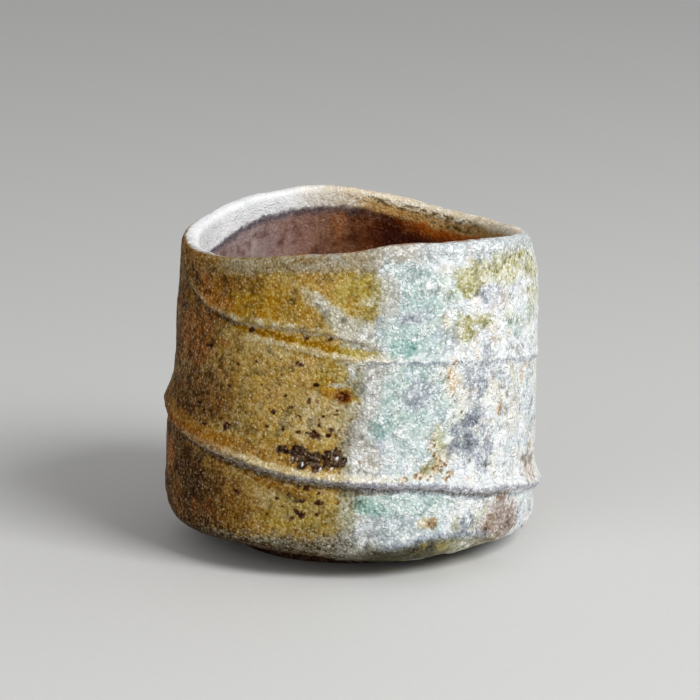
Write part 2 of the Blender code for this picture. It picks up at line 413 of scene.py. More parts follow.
    def inside(self, turns: Field, wall_rows: int, arc_rows: int, floor_rows: int) -> Skin:
        """Down the wall inside from the lip coat's edge, round the corner and over the floor to its middle.

        Args:
            turns: The columns' places round the cup.
            wall_rows: Rows on the wall.
            arc_rows: Rows round the corner.
            floor_rows: Rows on the floor.

        Returns:
            The plain surface.
        """
        turn = turns[None, :]
        corner = self.floor_height + self.fillet
        wall = self.inside_wall(
            turn, self.lip_edge(turn), corner, np.linspace(0, 1, wall_rows, endpoint=False)[:, None]
        )
        middle = self.inner_radius(turn, corner) - self.fillet
        angle = np.linspace(0, math.pi / 2, arc_rows, endpoint=False)[:, None]
        arc = skin_of(
            turn,
            middle + self.fillet * np.cos(angle),
            corner - self.fillet * np.sin(angle),
            -np.cos(angle),
            np.sin(angle),
        )
        floor = skin_of(turn, middle * np.linspace(1, 0, floor_rows)[:, None], self.floor_height, 0.0, 1.0)
        return Skin.joined(wall, arc, floor)


# Ridges and other relief on the outside


@dataclass(frozen=True)
class Ridge:
    """A raised line round the wall, drawn through a few points. Turns go on rising past 1 into the next lap.

    Heights, rises, flares and undercuts are millimetres.
    """

    turns: tuple[float, ...]
    heights: tuple[float, ...]
    rises: tuple[float, ...]
    flares: tuple[float, ...]
    undercuts: tuple[float, ...]

    def above(self, turn: Field, height: Field, lap: int = 0) -> Field:
        """Millimetres above the crest, where height is in millimetres."""
        return height - np.interp(turn + lap, self.turns, self.heights)

    def lift(self, turn: Field, height: Field, lap: int = 0) -> Field:
        """What the ridge adds to the radius: a hollow flare above the crest and an S-curve under it.

        Args:
            turn: Turns round the cup, from 0 to 1.
            height: Heights in millimetres.
            lap: Whole laps to go on along the ridge.

        Returns:
            The lift in metres.
        """
        along = turn + lap
        above = self.above(turn, height, lap)
        flare = np.clip(above / np.interp(along, self.turns, self.flares), 0, 1)
        step = np.clip(-above / np.interp(along, self.turns, self.undercuts), 0, 1)
        shape = np.where(above > 0, (1 - flare) ** 1.7, 1 - ease(step))
        return np.interp(along, self.turns, self.rises, left=0.0, right=0.0) * shape * MM


SPIRAL = Ridge(
    turns=(
        0.15, 0.20, 0.26, 0.30, 0.35, 0.40, 0.48, 0.62, 0.75, 0.90, 1.0, 1.084, 1.156, 1.207, 1.257, 1.306,
        1.33, 1.351, 1.372, 1.395, 1.417, 1.441, 1.47, 1.50, 1.56,
    ),
    heights=(
        41.3, 40.2, 38.1, 37.7, 37.0, 35.9, 33.4, 29.7, 27.4, 26.2, 24.9, 22.3, 20.1, 18.5, 17.7, 17.05, 16.2,
        15.15, 14.3, 13.95, 13.2, 12.1, 11.0, 10.5, 9.2,
    ),
    rises=(
        0, 0.38, 0.32, 0.30, 0.30, 0.34, 0.50, 0.8, 0.95, 1.1, 1.2, 1.2, 1.2, 1.2, 1.2, 1.15, 1.15,
        1.15, 1.15, 1.15, 1.2, 1.3, 1.5, 1.4, 0,
    ),
    flares=(
        2.0, 2.0, 2.2, 2.4, 2.8, 3.2, 4.0, 5.0, 5.5, 6.5, 8.0, 6.5, 5.0, 4.0, 3.6, 3.4, 3.4,
        3.4, 3.4, 3.4, 3.4, 3.6, 4.2, 4.2, 4.0,
    ),
    undercuts=(
        1.3, 1.3, 1.4, 1.4, 1.4, 1.4, 1.5, 1.6, 1.6, 1.6, 1.6, 1.6, 1.6, 1.6, 1.7, 1.7, 1.7,
        1.8, 1.8, 1.8, 1.8, 1.9, 2.0, 2.0, 1.8,
    ),
)
UPPER_STRAND = Ridge(
    turns=(0.03, 0.055, 0.075, 0.10, 0.135, 0.165, 0.197, 0.227, 0.252, 0.27),
    heights=(50.6, 48.9, 46.9, 45.1, 43.6, 43.7, 43.4, 42.8, 41.7, 40.6),
    rises=(0.0, 0.30, 0.36, 0.40, 0.46, 0.42, 0.40, 0.34, 0.22, 0.0),
    flares=(1.6, 1.6, 1.6, 1.6, 1.5, 1.4, 1.4, 1.4, 1.4, 1.4),
    undercuts=(0.9, 0.9, 0.9, 0.9, 0.9, 0.9, 0.9, 0.9, 0.9, 0.9),
)
TRIMMED_EDGE = Ridge(
    turns=(0.10, 0.17, 0.24, 0.28, 0.30, 0.318, 0.35, 0.385, 0.42),
    heights=(5.4, 5.0, 4.2, 5.8, 6.5, 7.2, 6.9, 5.4, 3.2),
    rises=(0.0, 0.22, 0.35, 0.45, 0.50, 0.60, 0.60, 0.40, 0.0),
    flares=(2.6, 2.6, 2.6, 2.4, 2.3, 2.2, 2.2, 2.4, 2.4),
    undercuts=(1.0, 1.0, 1.0, 1.2, 1.4, 1.4, 1.2, 1.0, 1.0),
)


@dataclass(frozen=True)
class Site:
    """Where each vertex of a piece is on the fired surface. Heights and distances are millimetres.

    first and second are distances above the ridge's two laps, strand and trim above the two other lines.
    """

    turn: Field
    height: Field
    points: Field
    ragged: Field
    fine: Field
    crust: Field
    first: Field
    second: Field
    strand: Field
    trim: Field
    below_rim: Field

    @staticmethod
    def of(form: CupForm, skin: Skin) -> Site:
        """Reads a stretch of surface: its places, its ragged noises, and its distances from ridges and rim.

        Args:
            form: Sizes of the cup.
            skin: The plain surface.

        Returns:
            The places of its vertices.
        """
        points, turn, height = form.lifted(skin, 0.0), skin.turn % 1.0, skin.height / MM
        return Site(
            turn,
            height,
            points,
            layered_noise(points, 3.0 * MM, 21),
            layered_noise(points, 0.9 * MM, 31, 2),
            layered_noise(points, 1.4 * MM, 171, 3),
            SPIRAL.above(turn, height),
            SPIRAL.above(turn, height, 1),
            UPPER_STRAND.above(turn, height),
            TRIMMED_EDGE.above(turn, height),
            form.rim_height(turn) / MM - height,
        )

    def veins(self, width: float, seed: int) -> Field:
        """Noise drawn out along strokes that rise to the right. Its zero lines are veins about so wide."""
        along, over = slanted(self.turn * AROUND, self.height, VEIN_LEAN)
        return layered_noise(np.stack([along / 2.2, over, 0 * over], axis=-1) * MM, 2.4 * width * MM, seed)


@dataclass(frozen=True)
class Spot:
    """A rounded place on the outside: its centre, half width and half height in millimetres, and its lean."""

    turn: float
    height: float
    width: float
    tall: float
    lean: float = 0.0

    def reach(self, site: Site) -> Field:
        """0 at the centre and 1 on the outline, from the leaning offset in half widths and half heights."""
        along, over = slanted(turns_from(site.turn, self.turn) * AROUND, site.height - self.height, self.lean)
        return np.hypot(along / self.width, over / self.tall)


def spots(*rows: tuple[float, ...]) -> tuple[Spot, ...]:
    """Spots from their rows of numbers."""
    return tuple(Spot(*row) for row in rows)


BLISTERS = spots(
    (0.191, 22.6, 1.1, 1.1), (0.203, 22.4, 1.2, 1.8), (0.209, 21.3, 1.1, 1.7), (0.2195, 21.3, 0.95, 1.7),
    (0.2335, 21.3, 1.6, 1.6), (0.2425, 21.0, 0.6, 0.8),
)
# Painted glints: small white highlights on the blisters.
GLINTS = spots(
    (0.2329, 19.9, 0.26, 0.20), (0.2370, 21.6, 0.18, 0.34), (0.2087, 20.5, 0.16, 0.38),
    (0.2476, 21.0, 0.22, 0.22), (0.2241, 19.8, 0.14, 0.34), (0.2003, 21.3, 0.14, 0.26),
)
ASH_STREAK = Spot(0.228, 46.2, 6.5, 1.4, -37)
RUN_LEFT = (
    (2, 7, 12, 16, 25, 35, 42, 50, 58),
    (0.232, 0.236, 0.243, 0.245, 0.246, 0.258, 0.266, 0.267, 0.272),
)
RUN_RIGHT = (
    (2, 8, 12, 19, 25, 30, 38, 45, 58),
    (0.338, 0.340, 0.335, 0.312, 0.320, 0.328, 0.336, 0.335, 0.346),
)


@dataclass(frozen=True)
class Relief:
    """How the outside departs from its plain form. Sizes are millimetres, and results are metres outwards."""

    hollow: float = 0.45
    bulge: float = 0.45
    corner: float = 1.0
    streak: float = 0.12
    crust: float = 0.05
    pale_crust: float = 0.08
    blister: float = 0.34
    bubble: float = 0.30
    deepest: float = 0.40
    thin_edge: float = 0.35
    broad_lumps: float = 0.16
    narrow_lumps: float = 0.08
    grit: float = 0.03
    rise_left: float = 1.0
    dip_right: float = 0.35
    run_seat: float = 0.16
    run_body: float = 0.34
    run_drops: float = 0.10

    def of(self, form: CupForm, skin: Skin, site: Site) -> Field:
        """Ridges, a hollow left side, a fuller right side, lumps, crust and blisters.

        Args:
            form: Sizes of the cup.
            skin: The plain surface.
            site: Where its vertices are.

        Returns:
            The move outwards at each vertex.
        """
        turn, height = site.turn, site.height
        ridges = SPIRAL.lift(turn, height) + SPIRAL.lift(turn, height, 1) + UPPER_STRAND.lift(turn, height)
        left = 1 - ease(np.abs(turns_from(turn, 0.01)) / 0.13)
        waist = ease((height - 25) / 4) * (1 - ease((height - 34) / 8)) - (1 - ease((height - 21) / 3))
        on_wall = ease((height - form.base_top / MM) / 1.5)
        edge = 1 - ease((skin.radius - form.coat_edge) / (1.2 * MM))
        slant = np.maximum(-2 * skin.out * skin.up, 0) ** 2
        blister = np.zeros_like(turn)
        for spot in BLISTERS:
            blister = np.maximum(blister, 1 - ease((spot.reach(site) + 0.5 * site.fine - 0.5) / 0.6))
        bubbles, _ = cell_noise(site.points, 0.7 * MM, 71)
        forms = self.bulge * stretch(turn, 0.45, 0.56, 0.08) * (1 - ease((np.abs(height - 44) - 3) / 8))
        forms = forms + self.corner * stretch(turn, 0.45, 0.54, 0.07) * slant * (1 - edge)
        forms = forms - self.hollow * left * waist * on_wall
        forms = forms + self.streak * (1 - ease(ASH_STREAK.reach(site) - 0.3))
        forms = forms + (self.crust + self.pale_crust * stretch(turn, 0.27, 0.52, 0.06)) * site.crust
        forms = forms + blister * (self.blister - self.bubble * bubbles)
        relief = ridges * on_wall + TRIMMED_EDGE.lift(turn, height) + self.lumps(site) + forms * MM
        under = np.where(skin.height < form.base_lift + 1.5 * MM, edge, 0.0)
        return np.maximum(relief, -self.deepest * MM) - under * self.thin_edge * MM

    def lumps(self, site: Site) -> Field:
        """Broad and narrow lumps of the hand-formed wall with fine grit: three layers of noise added up.

        Args:
            site: Where the vertices are.

        Returns:
            The move outwards at each vertex.
        """
        broad = layered_noise(site.points, 7 * MM, 41, 2) * self.broad_lumps
        narrow = layered_noise(site.points, 2.4 * MM, 51, 2) * self.narrow_lumps
        return (broad + narrow + lattice_noise(site.points, 0.8 * MM, 61) * self.grit) * MM

    def sag(self, site: Site) -> Field:
        """How the lower edge rises and falls round the cup: up left of the front and down right of it.

        Args:
            site: Where the vertices are.

        Returns:
            The move upwards at each vertex.
        """
        left = 1 - ease(np.abs(turns_from(site.turn, 0.15)) / 0.14)
        right = 1 - ease(np.abs(turns_from(site.turn, 0.34)) / 0.10)
        low = 1 - ease((site.height - 3) / 8)
        return (self.rise_left * left - self.dip_right * right) * low * MM

    def run(self, site: Site) -> Field:
        """How far the ash run stands over the coat: thick in its middle, under the coat outside its path.

        Args:
            site: Where the vertices are.

        Returns:
            The move outwards at each vertex.
        """
        left, right = np.interp(site.height, *RUN_LEFT), np.interp(site.height, *RUN_RIGHT)
        inside = np.minimum(site.turn - left, right - site.turn) * AROUND
        body = ease((inside + 0.9 * site.ragged + 0.5) / 2.4) * ease((site.below_rim - 2.0) / 3.0)
        drops, _ = cell_noise(site.points, 1.3 * MM, 81)
        return (-self.run_seat + self.run_body * body + self.run_drops * body * (0.6 - drops)) * MM


RELIEF = Relief()


# Colours of the fired surface


class Tone(Enum):
    """Colours of clay, ash and glaze, and of painted shade and highlight."""

    UMBER = "#6a481c"
    DARK_UMBER = "#3c240a"
    RUSSET = "#905924"
    BROWN = "#785429"
    OCHRE_BROWN = "#8a6320"
    KHAKI = "#a68644"
    TAN = "#b4954f"
    PALE_TAN = "#bea975"
    AMBER = "#ae8219"
    DEEP_AMBER = "#8c5e1a"
    HONEY = "#94690a"
    GOLD = "#ab9442"
    ORANGE = "#b07a22"
    RUST = "#602c06"
    FLAME = "#a4671f"
    SULPHUR = "#ac922c"
    RUST_OCHRE = "#6e4718"
    OLIVE = "#948046"
    MOSS = "#9f9c7e"
    OLIVE_PALE = "#c6c296"
    OLIVE_GREEN = "#9f985a"
    IRON = "#3a1a08"
    BLISTER = "#38261a"
    STONE = "#75705f"
    STREAK = "#c6c3b4"
    RIM_GREY = "#9d9380"
    RIDGE_GREY = "#8c857b"
    RIDGE_SHADOW = "#6a635a"
    RIDGE_LILAC = "#b6b5bf"
    SHADE = "#44311a"
    CREAM = "#ddd9ca"
    CREAM_EDGE = "#cdbb8e"
    WHITE = "#dfe4e4"
    FROST = "#e8ecec"
    SNOW = "#fafbfa"
    CREST = "#96876a"
    MILK = "#c4cccc"
    CELADON = "#b0c4bf"
    TURQUOISE = "#82a8a0"
    JADE = "#80a898"
    MIST = "#bac1c4"
    BORDER = "#bebbb2"
    SLATE = "#828994"
    SLATE_PALE = "#a8aeb5"
    LAVENDER = "#c4c8d6"
    PEACH = "#d8b890"
    BEIGE = "#c2b6aa"
    PINK_BROWN = "#a6968c"
    ICE = "#c0cdd1"
    DUST = "#a59877"
    BACK_GREY = "#9b9079"
    MAUVE = "#a38d8a"
    PLUM = "#875c40"
    ROSE = "#987263"
    LINER = "#5a2c11"
    LINER_DEEP = "#361104"
    EMBER = "#b3611a"
    FRINGE = "#4f4c58"
    LIP_WHITE_LIT = "#fafbfc"
    BEIGE_RIM = "#dccdb2"
    OCHRE_RIM = "#c0924e"
    OLIVE_MARK = "#5d4c2c"
    OLIVE_IN_SHADE = "#3c361a"
    POOL = "#7c8564"
    # The clay tones are kept dark, partly painted shade for the underside.
    CLAY = "#4c3323"
    CLAY_DARK = "#35221a"
    CLAY_PALE = "#6a4c38"

    @property
    def rgb(self) -> Field:
        """Its red, green and blue from 0 to 1, as a screen shows them."""
        return np.array([int(self.value[n : n + 2], 16) for n in (1, 3, 5)]) / 255.0


def linear(colour: Field) -> Field:
    """Screen colours as amounts of light, by the sRGB curve."""
    colour = np.clip(colour, 0.0, 1.0)
    return np.where(colour <= 0.04045, colour / 12.92, ((colour + 0.055) / 1.055) ** 2.4)


@dataclass(frozen=True)
class Patch:
    """A place where the surface takes a colour, with a ragged edge. It lies and leans as a spot does."""

    tone: Tone
    turn: float
    height: float
    width: float
    tall: float
    strength: float = 0.8
    lean: float = 0.0
    ragged: float = 0.35
    soft: float = 0.7

    def cover(self, site: Site) -> Field:
        """How much of the colour each vertex takes.

        Args:
            site: Where the vertices are.

        Returns:
            Shares from 0 to the patch's strength.
        """
        reach = Spot(self.turn, self.height, self.width, self.tall, self.lean).reach(site)
        reach = reach + self.ragged * site.ragged + 0.5 * self.ragged * site.fine
        return self.strength * (1 - ease((reach - 1) / self.soft + 0.5))


def patches(*rows: tuple[Tone | float, ...]) -> tuple[Patch, ...]:
    """Patches from their rows: a tone, then the numbers in the order of the fields."""
    return tuple(Patch(*row) for row in rows)


ROUND = (
    (0.00, Tone.UMBER), (0.06, Tone.UMBER), (0.10, Tone.BROWN), (0.14, Tone.KHAKI), (0.18, Tone.TAN),
    (0.240, Tone.TAN), (0.250, Tone.MOSS), (0.262, Tone.BORDER), (0.272, Tone.MIST), (0.287, Tone.CELADON),
    (0.322, Tone.CELADON), (0.344, Tone.WHITE), (0.45, Tone.WHITE), (0.51, Tone.CREAM), (0.58, Tone.BEIGE),
    (0.66, Tone.DUST), (0.76, Tone.KHAKI), (0.86, Tone.OCHRE_BROWN), (0.94, Tone.RUSSET),
    (1.00, Tone.UMBER),
)
PATCHES = patches(
    # Upper left, over the upper strand
    (Tone.AMBER, 0.165, 46.2, 9.0, 3.2, 0.7), (Tone.FLAME, 0.105, 46.6, 4.4, 3.0, 0.9),
    (Tone.OCHRE_BROWN, 0.135, 50.0, 8.0, 2.2, 0.6), (Tone.DEEP_AMBER, 0.208, 51.8, 2.6, 0.9, 0.6, 12),
    (Tone.TAN, 0.213, 51.0, 3.4, 1.6, 0.6), (Tone.GOLD, 0.250, 48.4, 4.6, 3.6, 0.9),
    (Tone.OLIVE, 0.256, 47.4, 2.6, 2.4, 0.6), (Tone.AMBER, 0.243, 46.2, 1.8, 2.6, 0.5, -55),
    (Tone.KHAKI, 0.196, 46.8, 3.2, 3.4, 0.6), (Tone.STREAK, 0.214, 48.2, 3.0, 1.0, 0.60, -37, 0.4, 1.2),
    (Tone.STREAK, 0.229, 46.0, 4.4, 1.6, 0.90, -37, 0.4, 0.9),
    (Tone.STREAK, 0.245, 43.6, 4.0, 2.2, 0.90, -30, 0.4, 1.0),
    (Tone.STREAK, 0.258, 41.6, 3.2, 2.4, 0.80, -20, 0.5, 1.0),
    (Tone.DARK_UMBER, 0.066, 50.6, 0.8, 1.3, 0.8, 0, 0.5, 0.4),
    (Tone.DARK_UMBER, 0.058, 48.4, 0.6, 0.9, 0.7, 0, 0.5, 0.4),
    (Tone.DARK_UMBER, 0.075, 48.6, 0.6, 0.5, 0.6, 0, 0.5, 0.4), (Tone.RUSSET, 0.085, 49.5, 3.0, 3.0, 0.4),
    # Between the two laps
    (Tone.RUSSET, 0.080, 38.5, 6.0, 4.5, 0.9), (Tone.KHAKI, 0.141, 35.0, 7.0, 6.0, 0.5),
    (Tone.TAN, 0.182, 32.0, 8.0, 7.0, 0.5), (Tone.PALE_TAN, 0.216, 28.5, 5.5, 5.0, 0.7),
    (Tone.CREAM_EDGE, 0.225, 29.2, 3.5, 3.0, 0.4), (Tone.PALE_TAN, 0.180, 38.8, 9.0, 1.1, 0.6, -14),
    (Tone.BROWN, 0.103, 28.7, 6.0, 4.0, 0.7), (Tone.UMBER, 0.060, 28.0, 4.5, 5.0, 0.6),
    (Tone.GOLD, 0.232, 36.0, 3.4, 1.6, 0.6), (Tone.OLIVE, 0.247, 31.0, 1.4, 4.5, 0.45, 0, 0.6, 1.0),
    # The lower band
    # The dark umber patches low at the left are partly painted shade, darkening the lower left as in shadow.
    (Tone.UMBER, 0.105, 11.5, 12.0, 7.0, 0.6), (Tone.DARK_UMBER, 0.080, 14.5, 8.0, 5.0, 0.55),
    (Tone.DARK_UMBER, 0.095, 8.0, 11.0, 4.5, 0.55), (Tone.DARK_UMBER, 0.060, 14.0, 9.0, 8.0, 0.40),
    # The russet patch at turn 0.035, on the left edge, is a painted warm reflection.
    (Tone.RUSSET, 0.062, 10.0, 3.0, 4.0, 0.5), (Tone.RUSSET, 0.035, 16.4, 4.0, 3.6, 0.9),
    (Tone.RUSSET, 0.093, 9.6, 1.6, 1.8, 0.6), (Tone.OCHRE_BROWN, 0.150, 11.0, 5.0, 4.0, 0.6),
    (Tone.PALE_TAN, 0.183, 13.8, 4.0, 1.7, 0.8), (Tone.OLIVE, 0.218, 11.5, 6.0, 3.6, 0.8),
    (Tone.DEEP_AMBER, 0.180, 16.6, 6.0, 0.8, 0.6, -15), (Tone.GOLD, 0.195, 10.4, 6.0, 1.2, 0.5),
    (Tone.RUSSET, 0.114, 10.2, 1.2, 1.6, 0.7, 0, 0.5), (Tone.STONE, 0.160, 4.6, 13.0, 1.6, 0.8),
    (Tone.STONE, 0.225, 5.4, 11.0, 2.2, 0.9), (Tone.STONE, 0.252, 7.0, 4.6, 2.8, 0.75),
    (Tone.MIST, 0.285, 9.4, 8.0, 2.8, 0.7), (Tone.CELADON, 0.290, 13.4, 9.0, 2.2, 0.8),
    (Tone.JADE, 0.262, 13.7, 2.2, 1.5, 0.65), (Tone.TURQUOISE, 0.270, 12.6, 2.4, 1.0, 0.5),
    (Tone.CELADON, 0.331, 13.6, 2.6, 1.8, 0.8), (Tone.CREAM_EDGE, 0.315, 10.0, 1.8, 0.9, 0.7),
    (Tone.BROWN, 0.321, 9.7, 0.8, 0.9, 0.6, 20, 0.7, 0.9),
    (Tone.FROST, 0.352, 11.4, 1.8, 2.6, 0.9, 0, 0.4, 0.5),
    (Tone.SLATE, 0.356, 9.2, 1.5, 1.5, 0.9, 30, 0.6, 0.6), (Tone.FROST, 0.370, 7.4, 1.1, 2.0, 0.6),
    (Tone.PINK_BROWN, 0.395, 8.6, 5.0, 4.4, 0.95, 0, 0.4, 0.6),
    (Tone.PINK_BROWN, 0.389, 5.8, 4.6, 3.0, 0.9, 0, 0.4, 0.6), (Tone.BROWN, 0.383, 8.2, 1.1, 1.6, 0.3),
    (Tone.BROWN, 0.400, 12.0, 2.4, 0.5, 0.7), (Tone.WHITE, 0.440, 9.0, 3.0, 3.6, 0.6),
    (Tone.SLATE, 0.330, 6.6, 5.0, 0.7, 0.7, 8),
    # The run
    (Tone.MILK, 0.302, 52.0, 5.5, 3.4, 0.7), (Tone.CELADON, 0.293, 51.5, 3.0, 2.4, 0.5),
    (Tone.CELADON, 0.288, 46.0, 2.6, 4.0, 0.7), (Tone.CELADON, 0.318, 49.5, 4.0, 3.0, 0.5),
    (Tone.CELADON, 0.285, 42.0, 4.0, 3.0, 0.6), (Tone.TURQUOISE, 0.290, 40.4, 2.6, 1.6, 0.9, 0, 0.6, 0.8),
    (Tone.TURQUOISE, 0.271, 26.8, 2.4, 2.2, 0.6), (Tone.CELADON, 0.292, 31.0, 4.6, 5.0, 0.7),
    (Tone.SLATE_PALE, 0.297, 45.0, 4.0, 1.3, 0.8), (Tone.SLATE_PALE, 0.303, 32.0, 2.6, 2.6, 0.8),
    (Tone.FROST, 0.298, 23.0, 4.5, 4.0, 0.3), (Tone.ICE, 0.323, 27.4, 1.8, 2.2, 0.7),
    (Tone.GOLD, 0.261, 48.4, 2.0, 4.0, 0.5, 0, 0.5, 1.1), (Tone.BORDER, 0.277, 48.0, 1.6, 5.0, 0.8),
    (Tone.MOSS, 0.270, 49.4, 1.2, 3.4, 0.35, 0, 0.6, 1.2), (Tone.MOSS, 0.2535, 35.0, 1.2, 5.0, 0.7),
    (Tone.BORDER, 0.264, 34.5, 1.6, 5.0, 0.8, 0, 0.5, 1.2), (Tone.MOSS, 0.246, 12.5, 1.6, 3.6, 0.7),
    (Tone.MOSS, 0.243, 26.0, 1.4, 6.0, 0.35, 0, 0.6, 1.2),
    (Tone.BORDER, 0.254, 24.0, 2.2, 5.0, 0.9, 0, 0.5, 1.1),
    (Tone.AMBER, 0.234, 32.8, 3.2, 1.4, 0.80, -22, 0.5, 0.9),
    (Tone.DEEP_AMBER, 0.238, 32.1, 2.0, 1.2, 0.9, -15, 0.5, 0.6),
    (Tone.RUST, 0.2385, 31.8, 1.3, 0.9, 0.85, 0, 0.5, 0.9),
    (Tone.STREAK, 0.234, 33.9, 1.5, 0.4, 0.8, 0, 0.4, 0.5),
    (Tone.SNOW, 0.3125, 50.2, 0.7, 0.7, 1.0, 0, 0.05, 0.25),
    (Tone.SNOW, 0.332, 50.3, 0.4, 0.4, 0.9, 0, 0.05, 0.25),
    # The right side
    (Tone.OLIVE_GREEN, 0.354, 50.4, 2.2, 2.6, 0.8, 0, 0.8, 0.9),
    (Tone.OLIVE_PALE, 0.400, 51.6, 8.0, 2.4, 0.8, 0, 0.7, 0.9),
    (Tone.OLIVE_GREEN, 0.410, 51.6, 4.0, 1.2, 0.4, 10, 0.9, 0.9),
    (Tone.OLIVE_GREEN, 0.455, 50.4, 4.6, 2.8, 0.6, 0, 0.7, 0.9),
    (Tone.OLIVE_GREEN, 0.347, 41.6, 2.4, 3.0, 0.75, -20, 0.8, 1.0),
    (Tone.OLIVE_GREEN, 0.368, 43.6, 4.0, 1.3, 0.7, -8, 0.9, 0.9),
    (Tone.OLIVE_PALE, 0.455, 44.5, 4.0, 2.6, 0.6, 0, 0.7, 0.9), (Tone.FROST, 0.420, 38.6, 8.0, 1.4, 0.8),
    (Tone.LAVENDER, 0.385, 46.2, 5.0, 2.6, 0.5), (Tone.CELADON, 0.425, 41.5, 5.0, 2.0, 0.6, 15, 0.7, 0.9),
    (Tone.SLATE_PALE, 0.362, 34.2, 4.0, 2.2, 0.7),
    (Tone.SLATE_PALE, 0.335, 40.6, 2.0, 2.4, 0.6, 0, 0.6, 0.9),
    (Tone.SLATE_PALE, 0.412, 28.4, 2.6, 2.0, 0.5, 0, 0.6, 0.9),
    (Tone.SLATE, 0.369, 31.6, 1.3, 1.2, 0.4, 0, 0.7), (Tone.FROST, 0.432, 36.6, 5.0, 2.0, 0.6),
    (Tone.SLATE, 0.346, 24.0, 3.2, 3.6, 0.65, 40, 0.7, 0.8),
    (Tone.SLATE, 0.342, 22.0, 2.2, 1.6, 0.5, 0, 0.7, 0.6),
    (Tone.SLATE, 0.357, 27.0, 2.6, 1.5, 0.65, 20, 0.6, 0.6),
    (Tone.SLATE, 0.373, 22.0, 2.2, 3.6, 0.6, 0, 0.7, 0.8),
    (Tone.DARK_UMBER, 0.346, 28.2, 0.4, 0.4, 0.8, 0, 0.5, 0.5),
    (Tone.CREAM, 0.338, 33.6, 1.8, 3.6, 0.7, 0, 0.5, 0.9), (Tone.PEACH, 0.337, 33.6, 1.0, 2.4, 0.5),
    (Tone.OLIVE_PALE, 0.324, 23.5, 1.3, 3.4, 0.7), (Tone.OLIVE, 0.321, 20.5, 2.2, 1.2, 0.5, 20, 0.7, 0.8),
    (Tone.OLIVE, 0.317, 18.8, 2.6, 0.9, 0.6, 0, 0.7, 0.9), (Tone.CREAM, 0.388, 29.6, 3.0, 2.0, 0.8),
    (Tone.CREAM, 0.410, 26.0, 2.6, 5.0, 0.6), (Tone.PEACH, 0.391, 27.6, 0.8, 1.4, 0.8),
    (Tone.PEACH, 0.428, 31.6, 0.6, 1.4, 0.7), (Tone.ICE, 0.450, 26.0, 3.0, 6.0, 0.5),
    (Tone.BEIGE, 0.450, 14.6, 4.2, 2.8, 0.9, 0, 0.3),
    # The back
    (Tone.ICE, 0.560, 22.0, 7.0, 9.0, 0.6), (Tone.OLIVE_PALE, 0.590, 46.0, 10.0, 5.0, 0.6),
    (Tone.CREAM, 0.610, 34.0, 6.0, 5.0, 0.6), (Tone.OLIVE, 0.680, 40.0, 9.0, 6.0, 0.6),
    (Tone.GOLD, 0.720, 47.0, 8.0, 4.0, 0.6), (Tone.BACK_GREY, 0.700, 18.0, 10.0, 6.0, 0.6),
    (Tone.STREAK, 0.745, 35.0, 2.0, 9.0, 0.6, 8), (Tone.TAN, 0.800, 33.0, 9.0, 6.0, 0.6),
    (Tone.AMBER, 0.830, 46.0, 9.0, 4.0, 0.6), (Tone.BROWN, 0.850, 15.0, 9.0, 6.0, 0.6),
    (Tone.RUST, 0.885, 34.0, 4.0, 3.0, 0.5), (Tone.DEEP_AMBER, 0.930, 45.0, 7.0, 5.0, 0.6),
    (Tone.UMBER, 0.960, 20.0, 9.0, 8.0, 0.5),
)
IRON_SPOTS = spots(
    (0.202, 37.1, 1.1, 0.5), (0.218, 34.0, 0.8, 0.5), (0.191, 31.6, 0.6, 0.6), (0.180, 28.8, 0.55, 0.5),
    (0.195, 29.8, 0.5, 0.35), (0.175, 26.3, 0.45, 0.35), (0.190, 26.0, 0.4, 0.5), (0.204, 25.7, 0.6, 0.35),
    (0.211, 25.7, 0.5, 0.4), (0.217, 25.5, 1.1, 0.9), (0.221, 27.0, 0.5, 0.5), (0.231, 26.4, 0.6, 0.35),
    (0.229, 25.4, 0.4, 0.3), (0.212, 31.3, 0.25, 0.6), (0.224, 28.6, 0.3, 0.3), (0.235, 29.0, 0.35, 0.25),
    (0.204, 28.4, 0.3, 0.3), (0.144, 36.1, 0.35, 0.3), (0.161, 36.9, 0.35, 0.3), (0.135, 32.0, 0.4, 0.4),
    (0.108, 38.0, 0.5, 0.5), (0.095, 27.6, 0.6, 0.5), (0.059, 26.3, 0.6, 0.9), (0.134, 25.2, 0.8, 0.9),
    (0.107, 24.9, 0.8, 0.5), (0.215, 38.6, 0.3, 0.6), (0.156, 42.3, 0.9, 0.6), (0.207, 41.7, 0.6, 0.5),
    (0.228, 41.7, 0.5, 0.4), (0.187, 14.2, 0.7, 0.6), (0.192, 12.8, 0.35, 0.35), (0.208, 14.0, 0.9, 0.45),
    (0.204, 12.3, 0.6, 0.7), (0.201, 11.0, 0.7, 0.5), (0.209, 11.6, 0.6, 0.6), (0.197, 15.0, 0.35, 0.3),
    (0.223, 15.5, 0.7, 0.5), (0.223, 13.9, 0.7, 0.45), (0.221, 11.9, 0.4, 0.4), (0.212, 16.3, 0.45, 0.4),
    (0.205, 16.3, 0.45, 0.4), (0.147, 14.0, 0.6, 0.6), (0.088, 9.7, 0.5, 0.5), (0.074, 11.6, 0.5, 0.6),
    (0.178, 11.3, 0.4, 0.35),
)
RUST_SPOTS = spots(
    (0.292, 17.9, 0.7, 0.4), (0.303, 18.0, 1.0, 0.5), (0.311, 18.3, 0.8, 0.5), (0.316, 17.6, 0.8, 0.6),
    (0.323, 19.0, 1.1, 0.8), (0.328, 19.5, 1.0, 0.7), (0.333, 17.7, 0.8, 0.6), (0.319, 23.3, 0.6, 1.4),
    (0.323, 21.4, 0.5, 1.0), (0.338, 36.9, 0.5, 0.5), (0.332, 34.8, 0.4, 0.9), (0.337, 32.2, 0.5, 1.2),
)
GRAIN_TURNS = (0.0, 0.09, 0.15, 0.23, 0.27, 0.33, 0.38, 0.50, 0.60, 0.90, 1.0)
GRAIN = (0.5, 0.5, 0.48, 0.46, 0.5, 0.55, 0.62, 0.62, 0.6, 0.5, 0.5)
